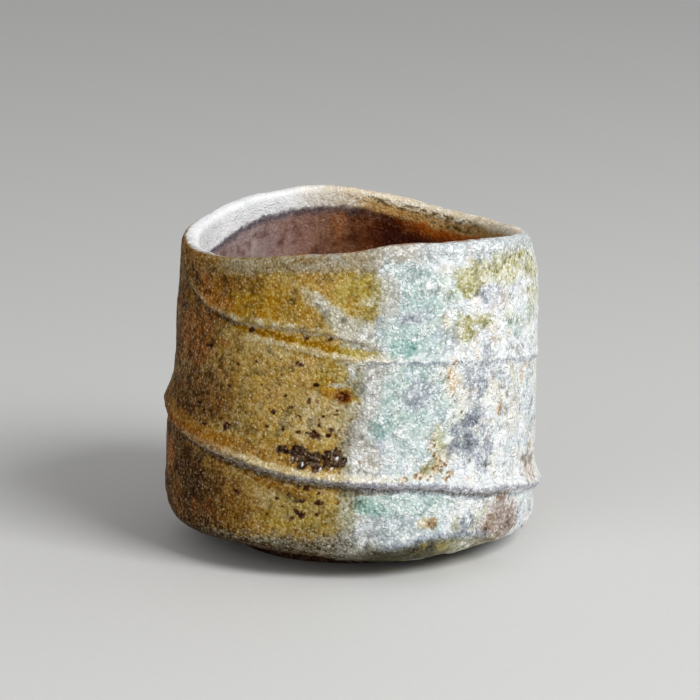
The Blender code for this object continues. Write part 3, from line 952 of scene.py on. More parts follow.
SPARKLE = (0.6, 0.6, 0.6, 0.55, 0.4, 0.4, 0.45, 0.45, 0.4, 0.4, 0.6)


class Broken(Enum):
    """How a stroke of colour is broken up."""

    NOWHERE = "nowhere"
    IN_CLOUDS = "in clouds"
    IN_CRUMBS = "in crumbs"


@dataclass(frozen=True)
class Stroke:
    """A colour along a crest, from low to high millimetres over it and from one turn to another.

    ends is how many turns its two ends take to fade, and soft how many millimetres its two sides take.
    """

    tone: Tone
    strength: float
    low: float
    high: float
    first: float
    last: float
    ends: float = 0.02
    soft: float = 0.35
    broken: Broken = Broken.NOWHERE


# Dark strokes under the crest are painted shade, grey ones partly painted shade; cream and frost strokes on
# the crest are pale ash with a painted highlight.
LOWER_LAP = (
    Stroke(Tone.ORANGE, 0.60, 0.4, 3.0, 0.05, 0.13, 0.03, 1.2),
    Stroke(Tone.DEEP_AMBER, 0.90, 0.5, 2.8, 0.13, 0.225, 0.02, 1.0, Broken.IN_CLOUDS),
    Stroke(Tone.CREAM_EDGE, 0.85, -0.1, 1.1, 0.13, 0.27, 0.03, 0.6),
    Stroke(Tone.FROST, 0.60, 0.05, 1.3, 0.255, 0.43),
    Stroke(Tone.RIDGE_GREY, 0.90, -0.9, 0.0, 0.12, 0.27, 0.03),
    Stroke(Tone.RIDGE_LILAC, 0.50, -0.8, 0.0, 0.205, 0.27),
    Stroke(Tone.RIDGE_SHADOW, 0.90, -1.6, -0.8, 0.12, 0.27, 0.03),
    Stroke(Tone.RUSSET, 0.75, -0.8, 0.8, -0.2, 0.12, 0.04, 0.8),
    Stroke(Tone.CREST, 0.65, -0.8, 0.4, 0.09, 0.14, 0.02, 0.7),
    Stroke(Tone.RIDGE_LILAC, 0.85, -1.2, 0.1, 0.27, 0.5, 0.03),
    Stroke(Tone.RIDGE_SHADOW, 0.65, -1.6, -1.0, 0.27, 0.38, 0.03),
    Stroke(Tone.SHADE, 0.60, -1.7, -0.8, -0.2, 0.12, 0.04),
    Stroke(Tone.SHADE, 0.60, -2.1, -1.6, 0.12, 0.27, 0.03),
    Stroke(Tone.SLATE, 0.60, -2.0, -1.5, 0.27, 0.42, 0.03),
)
# Cream and frost strokes on the crest are pale ash with a painted highlight; the slate strokes under it are
# painted shade, the pale slate one partly.
UPPER_LAP = (
    Stroke(Tone.GOLD, 0.80, 0.3, 1.6, 0.22, 0.255, 0.03),
    Stroke(Tone.HONEY, 0.95, 0.45, 1.5, 0.145, 0.225),
    Stroke(Tone.CREAM_EDGE, 0.80, -0.7, 0.4, 0.16, 0.27),
    Stroke(Tone.FROST, 0.35, -0.1, 0.9, 0.27, 0.52),
    Stroke(Tone.SLATE_PALE, 0.70, -0.8, -0.1, 0.265, 0.52),
    Stroke(Tone.SLATE, 0.60, -0.4, -0.1, 0.265, 0.325, 0.01),
)
# The shade stroke under the strand is painted shade.
STRAND = (
    Stroke(Tone.STREAK, 1.0, -0.4, 0.6, 0.08, 0.25, 0.02, 0.6, Broken.IN_CRUMBS),
    Stroke(Tone.RIM_GREY, 0.60, -1.0, -0.3, 0.13, 0.26),
    Stroke(Tone.SHADE, 0.80, -1.3, -0.3, 0.05, 0.13),
)


@dataclass(frozen=True)
class Fired:
    """What the fire left on a piece: colours, and roughness, grain and sparkle from 0 to 1."""

    colour: Field
    surface: Field

    @staticmethod
    def of(colour: Field, roughness: Field | float, grain: Field | float, sparkle: Field | float) -> Fired:
        """Gathers the parts into two arrays.

        Args:
            colour: Screen colours of each point.
            roughness: Roughness of each point, or one for all.
            grain: Strength of its grain.
            sparkle: Strength of its crystals.

        Returns:
            The gathered parts, with colours as amounts of light.
        """
        shape = colour.shape[:-1]
        parts = [np.clip(np.broadcast_to(part, shape), 0.0, 1.0) for part in (roughness, grain, sparkle)]
        return Fired(linear(colour), np.stack(parts, axis=-1))

    @staticmethod
    def hidden(tone: Tone, points: Field) -> Fired:
        """A hidden side in one tone, rough and without sparkle."""
        return Fired.of(np.broadcast_to(tone.rgb, points.shape), 0.7, 0.5, 0.0)

    @staticmethod
    def joined(first: Fired, second: Fired) -> Fired:
        """Two sides, one after the other along the meridian."""
        colour = np.concatenate([first.colour, second.colour])
        return Fired(colour, np.concatenate([first.surface, second.surface]))


def round_tones(turn: Field, stops: tuple[tuple[float, Tone], ...]) -> Field:
    """Colours that change with the turn, straight from one stop to the next."""
    places, tones = [place for place, _ in stops], np.array([tone.rgb for _, tone in stops])
    return np.stack([np.interp(turn, places, tones[:, part]) for part in range(3)], axis=-1)


class AshPaint:
    """Colours of the outside, worked out from place, ridges and noise."""

    def __init__(self, site: Site) -> None:
        """Starts from the colours that change round the cup.

        Args:
            site: Where the vertices are.
        """
        self.site = site
        drift = site.ragged * 0.012 + layered_noise(site.points, 9 * MM, 91, 2) * 0.012
        self.colour = round_tones((site.turn + drift) % 1.0, ROUND)
        self.rough = np.full(site.turn.shape, 0.62)

    def lay(self, tone: Tone, cover: Field) -> None:
        """Mixes a colour in where it covers."""
        self.colour = blend(self.colour, tone.rgb, cover)

    def between(self, first: float, last: float, soft: float = 0.02) -> Field:
        """1 from one turn to another, with soft ends."""
        return stretch(self.site.turn, first, last, soft)

    def band(self, above: Field, low: float, high: float, soft: float = 0.35) -> Field:
        """1 from low to high millimetres over a crest, with soft and slightly ragged edges."""
        above = above + 0.25 * self.site.fine
        return ease((above - low) / soft + 0.5) * (1 - ease((above - high) / soft + 0.5))

    def mottle(self) -> None:
        """Clouds of warmer, paler and cooler glaze."""
        site = self.site
        pale = self.between(0.265, 0.56, 0.04)
        tan = self.between(0.14, 0.25, 0.04)
        warm = layered_noise(site.points, 4.5 * MM, 101)
        light = layered_noise(site.points, 2.6 * MM, 111)
        cool = layered_noise(site.points, 2.2 * MM, 181)
        self.lay(Tone.AMBER, 0.35 * ease(warm * 1.3 - 0.1) * (1 - pale))
        self.lay(Tone.DARK_UMBER, 0.35 * ease(-light * 1.3 - 0.05) * (1 - pale) * (1 - 0.75 * tan))
        self.lay(Tone.PALE_TAN, 0.30 * ease(light * 1.3 - 0.1) * (1 - pale))
        self.lay(Tone.LAVENDER, 0.55 * ease(cool * 1.5 - 0.1) * pale)
        self.lay(Tone.ICE, 0.50 * ease(-cool * 1.5 - 0.1) * pale)
        self.lay(Tone.CREAM, 0.55 * ease(light * 1.5 - 0.1) * pale)
        self.lay(Tone.SLATE_PALE, 0.35 * ease(-light * 1.5 - 0.25) * pale)
        self.lay(Tone.OLIVE_PALE, 0.45 * ease(warm * 1.5 - 0.3) * self.between(0.335, 0.6, 0.03))
        crumbs = layered_noise(site.points, 1.5 * MM, 301)
        self.lay(Tone.PEACH, 0.40 * ease(crumbs * 2.2 - 0.4) * self.between(0.33, 0.45, 0.02))

    def crust(self) -> None:
        """Pale crumbs where the crust stands up, partly a painted highlight, and painted shade where it lies
        low.
        """
        crust, points = self.site.crust, self.site.points
        pale, run = self.between(0.265, 0.56, 0.04), self.between(0.275, 0.335, 0.02)
        left, back = self.between(-0.30, 0.10, 0.05), self.between(0.50, 0.90, 0.06)
        warm = (1 - pale) * (1 - 0.75 * self.between(0.15, 0.27, 0.04))
        hue = layered_noise(points, 1.7 * MM, 261, 2)
        low = 1 - ease((self.site.height - 14) / 8)
        self.lay(Tone.FLAME, 0.50 * ease(hue * 2.0 - 0.25) * warm * (1 - 0.6 * low) * (1 - 0.4 * left))
        self.lay(Tone.SULPHUR, 0.50 * ease(-hue * 2.0 - 0.25) * warm * (1 - 0.8 * left))
        dark = layered_noise(points, 1.0 * MM, 271, 2)
        self.lay(Tone.DARK_UMBER, (0.55 - 0.30 * back) * ease(dark * 2.0 - 0.2 + 0.2 * left) * warm)
        # Pale frost on the raised crust: pale ash, partly a painted highlight.
        self.lay(Tone.FROST, (0.55 - 0.25 * run) * ease(crust * 1.5 - 0.1) * pale)
        # Painted shade: the colour is darkened where the crust lies low.
        self.colour = self.colour * (1 - (0.20 - 0.10 * run) * ease(-crust * 1.5 - 0.1))[..., None]
        strokes = ease((0.12 - np.abs(self.site.veins(0.8, 241))) / 0.10) * ease(self.site.ragged * 2.5 - 0.1)
        strokes = strokes * self.between(0.33, 0.52, 0.03) * ease((self.site.height - 18) / 4)
        self.lay(Tone.SNOW, 0.7 * strokes)
        pits = ease((0.07 - np.abs(self.site.veins(0.6, 253))) / 0.07) * ease(-self.site.ragged * 2.5 - 0.1)
        self.lay(Tone.SLATE, 0.4 * pits * pale)

    def patches(self) -> None:
        """The places where the ash, the flame and the clay left a colour of their own."""
        for one in PATCHES:
            self.lay(one.tone, one.cover(self.site))

    def along(self, above: Field, strokes: tuple[Stroke, ...]) -> None:
        """Strokes of colour along one crest, in order.

        Args:
            above: Millimetres above the crest.
            strokes: The strokes.
        """
        whole = {
            Broken.NOWHERE: np.array(1.0),
            Broken.IN_CLOUDS: 0.35 + 0.5 * ease(self.site.ragged * 1.5 + 0.2),
            Broken.IN_CRUMBS: 0.30 + 0.35 * ease(self.site.crust * 2),
        }
        for one in strokes:
            cover = one.strength * whole[one.broken] * self.band(above, one.low, one.high, one.soft)
            self.lay(one.tone, cover * self.between(one.first, one.last, one.ends))

    def trimmed_edge(self) -> None:
        """The trimmed facet under the crease at the base, its olive darkened by painted shade, painted shade
        under the left, and painted slate shade over the crease.
        """
        site = self.site
        under = 1 - ease((site.trim - 0.1 + 0.3 * site.fine) / 0.4)
        facet = under * (1 - ease((-site.trim - 3.0 + site.ragged) / 2.0))
        # Painted shade: the underside below the crease at the left.
        self.lay(Tone.SHADE, 0.80 * under * self.between(0.0, 0.26, 0.03))
        self.lay(Tone.STONE, 0.80 * under * self.between(0.24, 0.285, 0.02))
        # The facet's olive is darkened as painted shade.
        self.lay(Tone.OLIVE_IN_SHADE, 0.92 * facet * self.between(0.27, 0.33, 0.02))
        self.lay(Tone.SULPHUR, 0.70 * under * ease(site.ragged * 3 - 0.3) * self.between(0.30, 0.335, 0.015))
        self.lay(Tone.MOSS, 0.60 * under * self.between(0.335, 0.40, 0.02))
        # Painted shade: a slate band over the crease.
        self.lay(Tone.SLATE, 0.75 * self.band(site.trim, -0.2, 0.9, 1.2) * self.between(0.285, 0.37, 0.02))

    def ridges(self) -> None:
        """Along the ridges: grey undersides, partly painted shade, dark lines of painted shade, pale crests
        with a painted highlight, and amber between two strands.
        """
        self.along(self.site.second, LOWER_LAP)
        self.trimmed_edge()
        self.along(self.site.first, UPPER_LAP)
        self.along(self.site.strand, STRAND)

    def rim(self) -> None:
        """The granular band under the rim: brown at the left, then grey, whitish and beige."""
        site = self.site
        below = site.below_rim + 1.0 * site.ragged + 0.9 * layered_noise(site.points, 6 * MM, 291, 2)
        band = 1 - ease((below - 1.6) / 1.8)
        self.lay(Tone.RIM_GREY, 0.85 * band * self.between(0.10, 0.285, 0.03))
        self.lay(Tone.OLIVE, 0.25 * band * self.between(0.10, 0.19, 0.02))
        self.lay(Tone.UMBER, 0.55 * band * ease(site.crust * 1.8 - 0.1) * self.between(0.06, 0.20, 0.03))
        self.lay(Tone.SLATE_PALE, 0.70 * band * ease(site.ragged * 2 + 0.4) * self.between(0.20, 0.27, 0.02))
        self.lay(Tone.OCHRE_BROWN, 0.60 * band * self.between(-0.25, 0.10, 0.03))
        self.lay(Tone.BORDER, 0.80 * band * self.between(0.285, 0.32, 0.03))
        self.lay(Tone.MIST, 0.80 * band * self.between(0.32, 0.55, 0.03))
        self.lay(Tone.BEIGE_RIM, 0.60 * band * self.between(0.55, 0.75, 0.03))

    def spots(self) -> None:
        """Iron spots, rust spots and blisters, each broken up, a scatter of smaller dots round them, and
        painted glints on the blisters.
        """
        site = self.site
        for spot in IRON_SPOTS:
            self.lay(Tone.IRON, 0.92 * (1 - ease((spot.reach(site) + 0.5 * site.fine - 0.7) / 0.35)))
        near, lot = cell_noise(site.points, 0.55 * MM, 161)
        broken = (1 - ease((near - 0.35) / 0.25)) * (lot > 0.35)
        for spot in RUST_SPOTS:
            cover = 1 - ease((spot.reach(site) + 0.8 * site.fine - 0.8) / 0.5)
            self.lay(Tone.PEACH, 0.35 * cover)
            self.lay(Tone.RUST_OCHRE, 0.85 * cover * broken)
        near, lot = cell_noise(site.points, 1.0 * MM, 121)
        spotted = self.between(0.17, 0.245, 0.02) * (1 - ease((site.height - 36) / 6))
        dots = (1 - ease((near - 0.10 - 0.3 * (lot - 0.6)) / 0.12)) * (lot > 0.66)
        self.lay(Tone.RUST, 0.8 * dots * spotted)
        _, lot = cell_noise(site.points * np.array([1.0, 1.0, 0.5]), 0.38 * MM, 191)
        for spot in BLISTERS:
            cover = 1 - ease((spot.reach(site) + 0.45 * site.fine - 0.9) / 0.3)
            # The lighter specks in the blisters are painted highlight.
            self.lay(Tone.BLISTER, 0.95 * cover * (1 - 0.3 * (lot > 0.85)))
            self.rough = self.rough + (0.32 - self.rough) * cover
        # Painted glints: small white highlights laid on the blisters.
        for spot in GLINTS:
            self.lay(Tone.SNOW, 0.8 * (1 - ease((spot.reach(site) - 0.7) / 0.7)))

    def texture(self) -> tuple[Field, Field]:
        """Grain and sparkle: set round the cup, coarser under ridge and base, finer on the facet.

        Returns:
            The strength of the grain and of the sparkle.
        """
        site = self.site
        under = self.band(site.second, -1.5, 0.1) * (1 - self.between(0.5, 0.9, 0.05))
        under = np.maximum(under, (1 - ease((site.height - 6) / 3)) * (1 - self.between(0.27, 0.34, 0.02)))
        facet = (1 - ease((site.height - 4.5) / 1.5)) * self.between(0.27, 0.34, 0.02)
        grain, sparkle = (np.interp(site.turn, GRAIN_TURNS, values) for values in (GRAIN, SPARKLE))
        grain, sparkle = grain + (0.7 - grain) * under, sparkle + (0.6 - sparkle) * under
        return grain * (1 - 0.5 * facet), sparkle * (1 - 0.8 * facet)

    def fire(self) -> Fired:
        """Paints every layer in order.

        Returns:
            The finished colours with roughness, grain and sparkle.
        """
        for layer in (self.mottle, self.patches, self.crust, self.ridges, self.rim, self.spots):
            layer()
        value = lattice_noise(self.site.points, 0.9 * MM, 151) * 0.06
        self.colour = self.colour * (1.03 + value)[..., None]
        amber = np.clip((self.colour[..., 0] - self.colour[..., 2]) * 1.6, 0, 1)
        return Fired.of(self.colour, self.rough - 0.15 * amber, *self.texture())


class InsidePaint:
    """Colours of the lip and the inside."""

    BAND_TURNS = (0.0, 0.08, 0.20, 0.35, 0.50, 0.56, 0.62, 0.70, 0.76, 0.85, 0.93, 1.0)
    BAND_DEPTHS = (7.0, 6.6, 4.0, 3.0, 3.0, 3.4, 3.6, 3.6, 3.4, 3.9, 5.4, 7.0)
    # The lip's inside is brightest white at the left: white ash, partly painted light where it faces the key.
    LIP = (
        (0.00, Tone.LIP_WHITE_LIT), (0.12, Tone.WHITE), (0.20, Tone.BORDER), (0.30, Tone.BORDER),
        (0.46, Tone.MIST), (0.50, Tone.BEIGE_RIM), (0.63, Tone.BEIGE_RIM), (0.76, Tone.BEIGE_RIM),
        (0.83, Tone.LIP_WHITE_LIT), (1.00, Tone.LIP_WHITE_LIT),
    )
    WALL = (
        (0.00, Tone.MAUVE), (0.20, Tone.PLUM), (0.40, Tone.LINER), (0.60, Tone.LINER_DEEP),
        (0.705, Tone.LINER_DEEP), (0.737, Tone.LINER), (0.773, Tone.PLUM), (0.805, Tone.ROSE),
        (0.86, Tone.MAUVE), (1.00, Tone.MAUVE),
    )

    def __init__(self, site: Site) -> None:
        """Finds how far each vertex is below the ragged edge of the pale band, in millimetres.

        Args:
            site: Where the vertices are.
        """
        self.site = site
        crumbs = lattice_noise(site.points, 0.45 * MM, 281)
        self.under = site.below_rim - np.interp(site.turn, self.BAND_TURNS, self.BAND_DEPTHS)
        self.over = self.under + 0.35 * site.ragged + 0.30 * site.fine + 0.20 * crumbs

    def band(self) -> Field:
        """The pale ash band at the top: lilac clouds at the front, ochre below the rim at the back.

        Returns:
            Its colours.
        """
        turn, ragged = self.site.turn, self.site.ragged
        ochre = stretch(turn, 0.50, 0.73, 0.03) * ease((self.site.below_rim - 0.7 + 0.4 * ragged) / 1.5)
        clouds = stretch(turn, 0.22, 0.49, 0.03) * ease(ragged * 2 + 0.2)
        lip = blend(round_tones(turn, self.LIP), Tone.RIDGE_LILAC.rgb, 0.60 * clouds)
        return blend(lip, Tone.OCHRE_RIM.rgb, 0.85 * ochre)

    def wall(self, pool: Field) -> Field:
        """The streaked and blotched brown wall, glowing at the right, with a dark fringe at the left.

        Args:
            pool: How much of the floor's pool of ash covers each vertex.

        Returns:
            Its colours.
        """
        turn, points = self.site.turn, self.site.points
        streaks = layered_noise(points * np.array([1.0, 1.0, 0.22]), 1.6 * MM, 201)
        blotch = layered_noise(points, 1.7 * MM, 341)
        mauve, left = stretch(turn, 0.82, 1.16, 0.06), stretch(turn, 0.78, 1.13, 0.08)
        right = stretch(turn, 0.44, 0.675, 0.05)
        layers = (
            (Tone.EMBER, 0.30 * ease(streaks * 1.4) * (1 - mauve)),
            (Tone.BEIGE, 0.22 * ease(streaks * 1.4) * mauve),
            (Tone.LINER_DEEP, (0.4 - 0.25 * mauve) * ease(-streaks * 1.4 - 0.1)),
            (Tone.LINER_DEEP, 0.40 * ease(blotch * 1.6 - 0.1)),
            (Tone.ROSE, 0.25 * ease(-blotch * 1.6 - 0.1)),
            (Tone.LINER_DEEP, 0.65 * ease((self.under - 14) / 24)),
            (Tone.EMBER, 0.95 * right * (1 - ease((self.over - 0.6) / 2.8))),
            (Tone.FRINGE, 0.70 * left * (1 - ease((self.over - 0.2) / 1.8))),
            (Tone.POOL, 0.55 * pool),
        )
        wall = round_tones(turn, self.WALL)
        for tone, cover in layers:
            wall = blend(wall, tone.rgb, cover)
        return wall

    def marks(self) -> Field:
        """Two dashed lines of olive ash below the rim at the back.

        Returns:
            How much of their colour each vertex takes, from 0 to 1.
        """
        turn, below = self.site.turn, self.site.below_rim
        dashes = layered_noise(self.site.points * np.array([0.7, 0.7, 1.3]), 0.7 * MM, 231, 2)
        upper = stretch(turn, 0.62, 0.745, 0.02) * (1 - ease((np.abs(below - 1.4) - 0.4) / 0.4))
        lower = stretch(turn, 0.60, 0.67, 0.02) * (1 - ease((np.abs(below - 2.7) - 0.3) / 0.4))
        return np.maximum(upper, lower) * ease(dashes * 4 - 0.2)

    def fire(self) -> Fired:
        """Paints the band over the wall, and the marks over both.

        Returns:
            The colours with roughness, grain and sparkle.
        """
        site = self.site
        centre = np.hypot(site.points[..., 0], site.points[..., 1]) / MM
        pool = (1 - ease((site.height - 9) / 3)) * (1 - ease((centre - 9 + 3 * site.ragged) / 8))
        colour = blend(self.band(), self.wall(pool), ease(self.over / 1.0 + 0.5))
        colour = blend(colour, Tone.OLIVE_MARK.rgb, 0.70 * self.marks())
        value = lattice_noise(site.points, 0.9 * MM, 211) * 0.04
        value = value + lattice_noise(site.points, 2.5 * MM, 221) * 0.05
        frosted = 1 - ease(self.over / 0.5 + 0.5)
        rough, grain, sparkle = 0.42 + 0.2 * frosted - 0.15 * pool, 0.22 + 0.2 * frosted, 0.15 + 0.2 * frosted
        return Fired.of(colour * (1 + value)[..., None], rough, grain, sparkle)


# Finishes


class Bench:
    """A material's nodes, with short ways to add and join them."""

    def __init__(self, name: str) -> None:
        """Starts a material with one plain shader.

        Args:
            name: Name of the material.
        """
        self.material = bpy.data.materials.new(name)
        self.material.use_nodes = True
        self.tree = self.material.node_tree
        self.shader = self.tree.nodes["Principled BSDF"]

    def feed(self, node: bpy.types.Node, inputs: dict[str | int, object]) -> None:
        """Sets a node's inputs, or joins them to outputs.

        Args:
            node: The node.
            inputs: A number, a colour or an output for each input's name or place.
        """
        for name, value in inputs.items():
            if isinstance(value, bpy.types.NodeSocket):
                self.tree.links.new(value, node.inputs[name])
            else:
                node.inputs[name].default_value = value

    def add(
        self, kind: str, inputs: dict[str | int, object] | None = None, **settings: object
    ) -> bpy.types.Node:
        """Adds a node, sets its options and feeds its inputs.

        Args:
            kind: Blender's name of the node, without the words that all of them start with.
            inputs: What its inputs get.
            settings: Its options.

        Returns:
            The new node.
        """
        node = self.tree.nodes.new("ShaderNode" + kind)
        for name, value in settings.items():
            setattr(node, name, value)
        self.feed(node, inputs or {})
        return node

    def math(self, operation: str, *values: object) -> bpy.types.NodeSocket:
        """The result of one of Blender's sums on numbers or outputs."""
        return self.add("Math", dict(enumerate(values)), operation=operation).outputs[0]

    def vector(self, operation: str, *values: object) -> bpy.types.NodeSocket:
        """The result of one of Blender's sums on colours."""
        return self.add("VectorMath", dict(enumerate(values)), operation=operation).outputs[0]

    def slope(self, value: bpy.types.NodeSocket, times: float, plus: float) -> bpy.types.NodeSocket:
        """A value times one number plus another, kept from 0 to 1."""
        line = self.math("MULTIPLY_ADD", value, times, plus)
        return self.math("MINIMUM", self.math("MAXIMUM", line, 0.0), 1.0)


@dataclass(frozen=True)
class GlazeFinish:
    """A fired surface: painted colours broken up by fine grain, with sparkling crystals and a bump."""

    name: str
    grit_size: float = 0.00034
    grit_contrast: float = 3.6
    crystal_size: float = 0.00044
    grain_contrast: float = 2.6
    gap_contrast: float = 1.6
    frost: float = 0.35
    pale_frost: float = 0.65
    crystal_share: float = 0.14
    crystal_gain: float = 0.55
    pit_share: float = 0.05
    wrinkle_size: float = 0.0020
    wrinkle_depth: float = 0.00018
    bump_depth: float = 0.00020
    shine: float = 0.02

    def wrinkles(
        self, bench: Bench, place: bpy.types.NodeSocket, crusty: bpy.types.NodeSocket
    ) -> bpy.types.NodeSocket:
        """Thin winding ridges where the glaze is pale: the middle line of a noise, shown in places.

        Args:
            bench: The material's nodes.
            place: Object coordinates.
            crusty: 1 where the glaze is pale.

        Returns:
            Their height from 0 to 1.
        """
        noise = {"Vector": place, "Scale": 1 / self.wrinkle_size, "Detail": 2.0, "Distortion": 0.8}
        sides = bench.add("SeparateColor", {0: bench.add("TexNoise", noise).outputs["Color"]}).outputs
        off = bench.math("POWER", bench.math("ABSOLUTE", bench.math("SUBTRACT", sides[0], 0.5)), 2.0)
        line = bench.math("MAXIMUM", bench.math("MULTIPLY_ADD", off, -120.0, 1.0), 0.0)
        line = bench.math("POWER", line, 2.0)
        return bench.math("MULTIPLY", line, bench.math("MULTIPLY", crusty, bench.slope(sides[1], 7.0, -3.2)))

    def material(self) -> bpy.types.Material:
        """Builds the nodes: grain from Object coordinates, colour and surface from the attributes.

        Returns:
            The material.
        """
        bench = Bench(self.name)
        place = bench.add("TexCoord").outputs["Object"]
        colour = bench.add("Attribute", attribute_name=COLOUR).outputs["Color"]
        fired = bench.add("Attribute", attribute_name=SURFACE).outputs["Vector"]
        rough, grain, sparkle = bench.add("SeparateXYZ", {0: fired}).outputs
        noise = {"Vector": place, "Scale": 1 / self.grit_size, "Detail": 2.0, "Roughness": 0.6}
        grit = bench.add("TexNoise", noise).outputs["Fac"]
        crystal = bench.add("TexVoronoi", {"Vector": place, "Scale": 1 / self.crystal_size}, feature="F1")
        near = crystal.outputs["Distance"]
        lot = bench.add("SeparateColor", {0: crystal.outputs["Color"]}).outputs
        crusty = bench.slope(bench.add("SeparateColor", {0: colour}).outputs[1], 5.0, -1.7)
        fold = self.wrinkles(bench, place, crusty)
        # Grain: above 0 a grain is darker and richer, below 0 it is paler
        swing = bench.math("MULTIPLY_ADD", grit, self.grit_contrast, -self.grit_contrast / 2)
        facet = bench.math("MULTIPLY_ADD", lot[0], self.grain_contrast, -self.grain_contrast / 2)
        gap = bench.math("MULTIPLY_ADD", near, self.gap_contrast, -0.45 * self.gap_contrast)
        swing = bench.math("ADD", bench.math("ADD", facet, gap), swing)
        swing = bench.math("MULTIPLY", bench.math("MULTIPLY_ADD", fold, -1.6, swing), grain)
        down = bench.math("MAXIMUM", swing, 0.0)
        up = bench.math("MAXIMUM", bench.math("MULTIPLY", swing, -1.0), 0.0)
        # Crystals and pits: a few ragged grains that are much paler or darker
        core = bench.math("LESS_THAN", bench.math("MULTIPLY_ADD", grit, 0.8, near), 0.80)
        picked = bench.math("MULTIPLY", bench.math("GREATER_THAN", lot[1], 1 - self.crystal_share), core)
        picked = bench.math("MULTIPLY", picked, sparkle)
        frost = bench.math("MULTIPLY_ADD", crusty, self.pale_frost, self.frost)
        paler = bench.math("MULTIPLY_ADD", picked, self.crystal_gain, bench.math("MULTIPLY", up, frost))
        paler = bench.math("MINIMUM", paler, 1.0)
        pit = bench.math("MULTIPLY", bench.math("GREATER_THAN", lot[2], 1 - self.pit_share), core)
        dark = bench.math("MULTIPLY_ADD", bench.math("MULTIPLY", pit, grain), -0.6, 1.0)
        # Colour c becomes c to a power, plus paler * c ** 0.33 * (1 - c), which takes no grain above white
        power = bench.math("POWER", 2.0, bench.math("MULTIPLY", down, 0.7))
        rich = bench.add("Gamma", {"Color": colour, "Gamma": power}).outputs[0]
        soft = bench.add("Gamma", {"Color": colour, "Gamma": 0.33}).outputs[0]
        room = bench.vector("SUBTRACT", (1.0, 1.0, 1.0), colour)
        lit = bench.vector("MULTIPLY_ADD", bench.vector("MULTIPLY", soft, room), paler, rich)
        # Bump: the wrinkles, then rounded grains with finer grit on them
        ridge = bench.add("Bump", {"Strength": 1.0, "Distance": self.wrinkle_depth, "Height": fold})
        height = bench.math("MULTIPLY_ADD", near, -0.7, grit)
        grains = {"Strength": 1.0, "Distance": self.bump_depth, "Height": height, "Normal": ridge.outputs[0]}
        surface = {
            "Base Color": bench.add("VectorMath", {0: lit, "Scale": dark}, operation="SCALE").outputs[0],
            "Specular IOR Level": bench.math("MULTIPLY_ADD", picked, 0.8, self.shine),
            "Roughness": bench.math("ADD", rough, bench.math("MULTIPLY_ADD", lot[2], 0.24, -0.12)),
            "Normal": bench.add("Bump", grains).outputs[0],
        }
        bench.feed(bench.shader, surface)
        return bench.material


class Coat(Enum):
    """The finishes of the cup."""

    ASH = GlazeFinish("ash_glaze")
    RUN = GlazeFinish("melted_ash", bump_depth=0.00016, shine=0.2)
    LIP = GlazeFinish("lip_frost", pit_share=0.0, bump_depth=0.00012, wrinkle_depth=0.00008)
    LINER = GlazeFinish("liner_glaze", grain_contrast=1.6, crystal_share=0.04, bump_depth=0.00006, shine=0.12)
    CLAY = GlazeFinish("bare_stoneware", grain_contrast=2.0, crystal_share=0.06, bump_depth=0.00012)


# Pieces


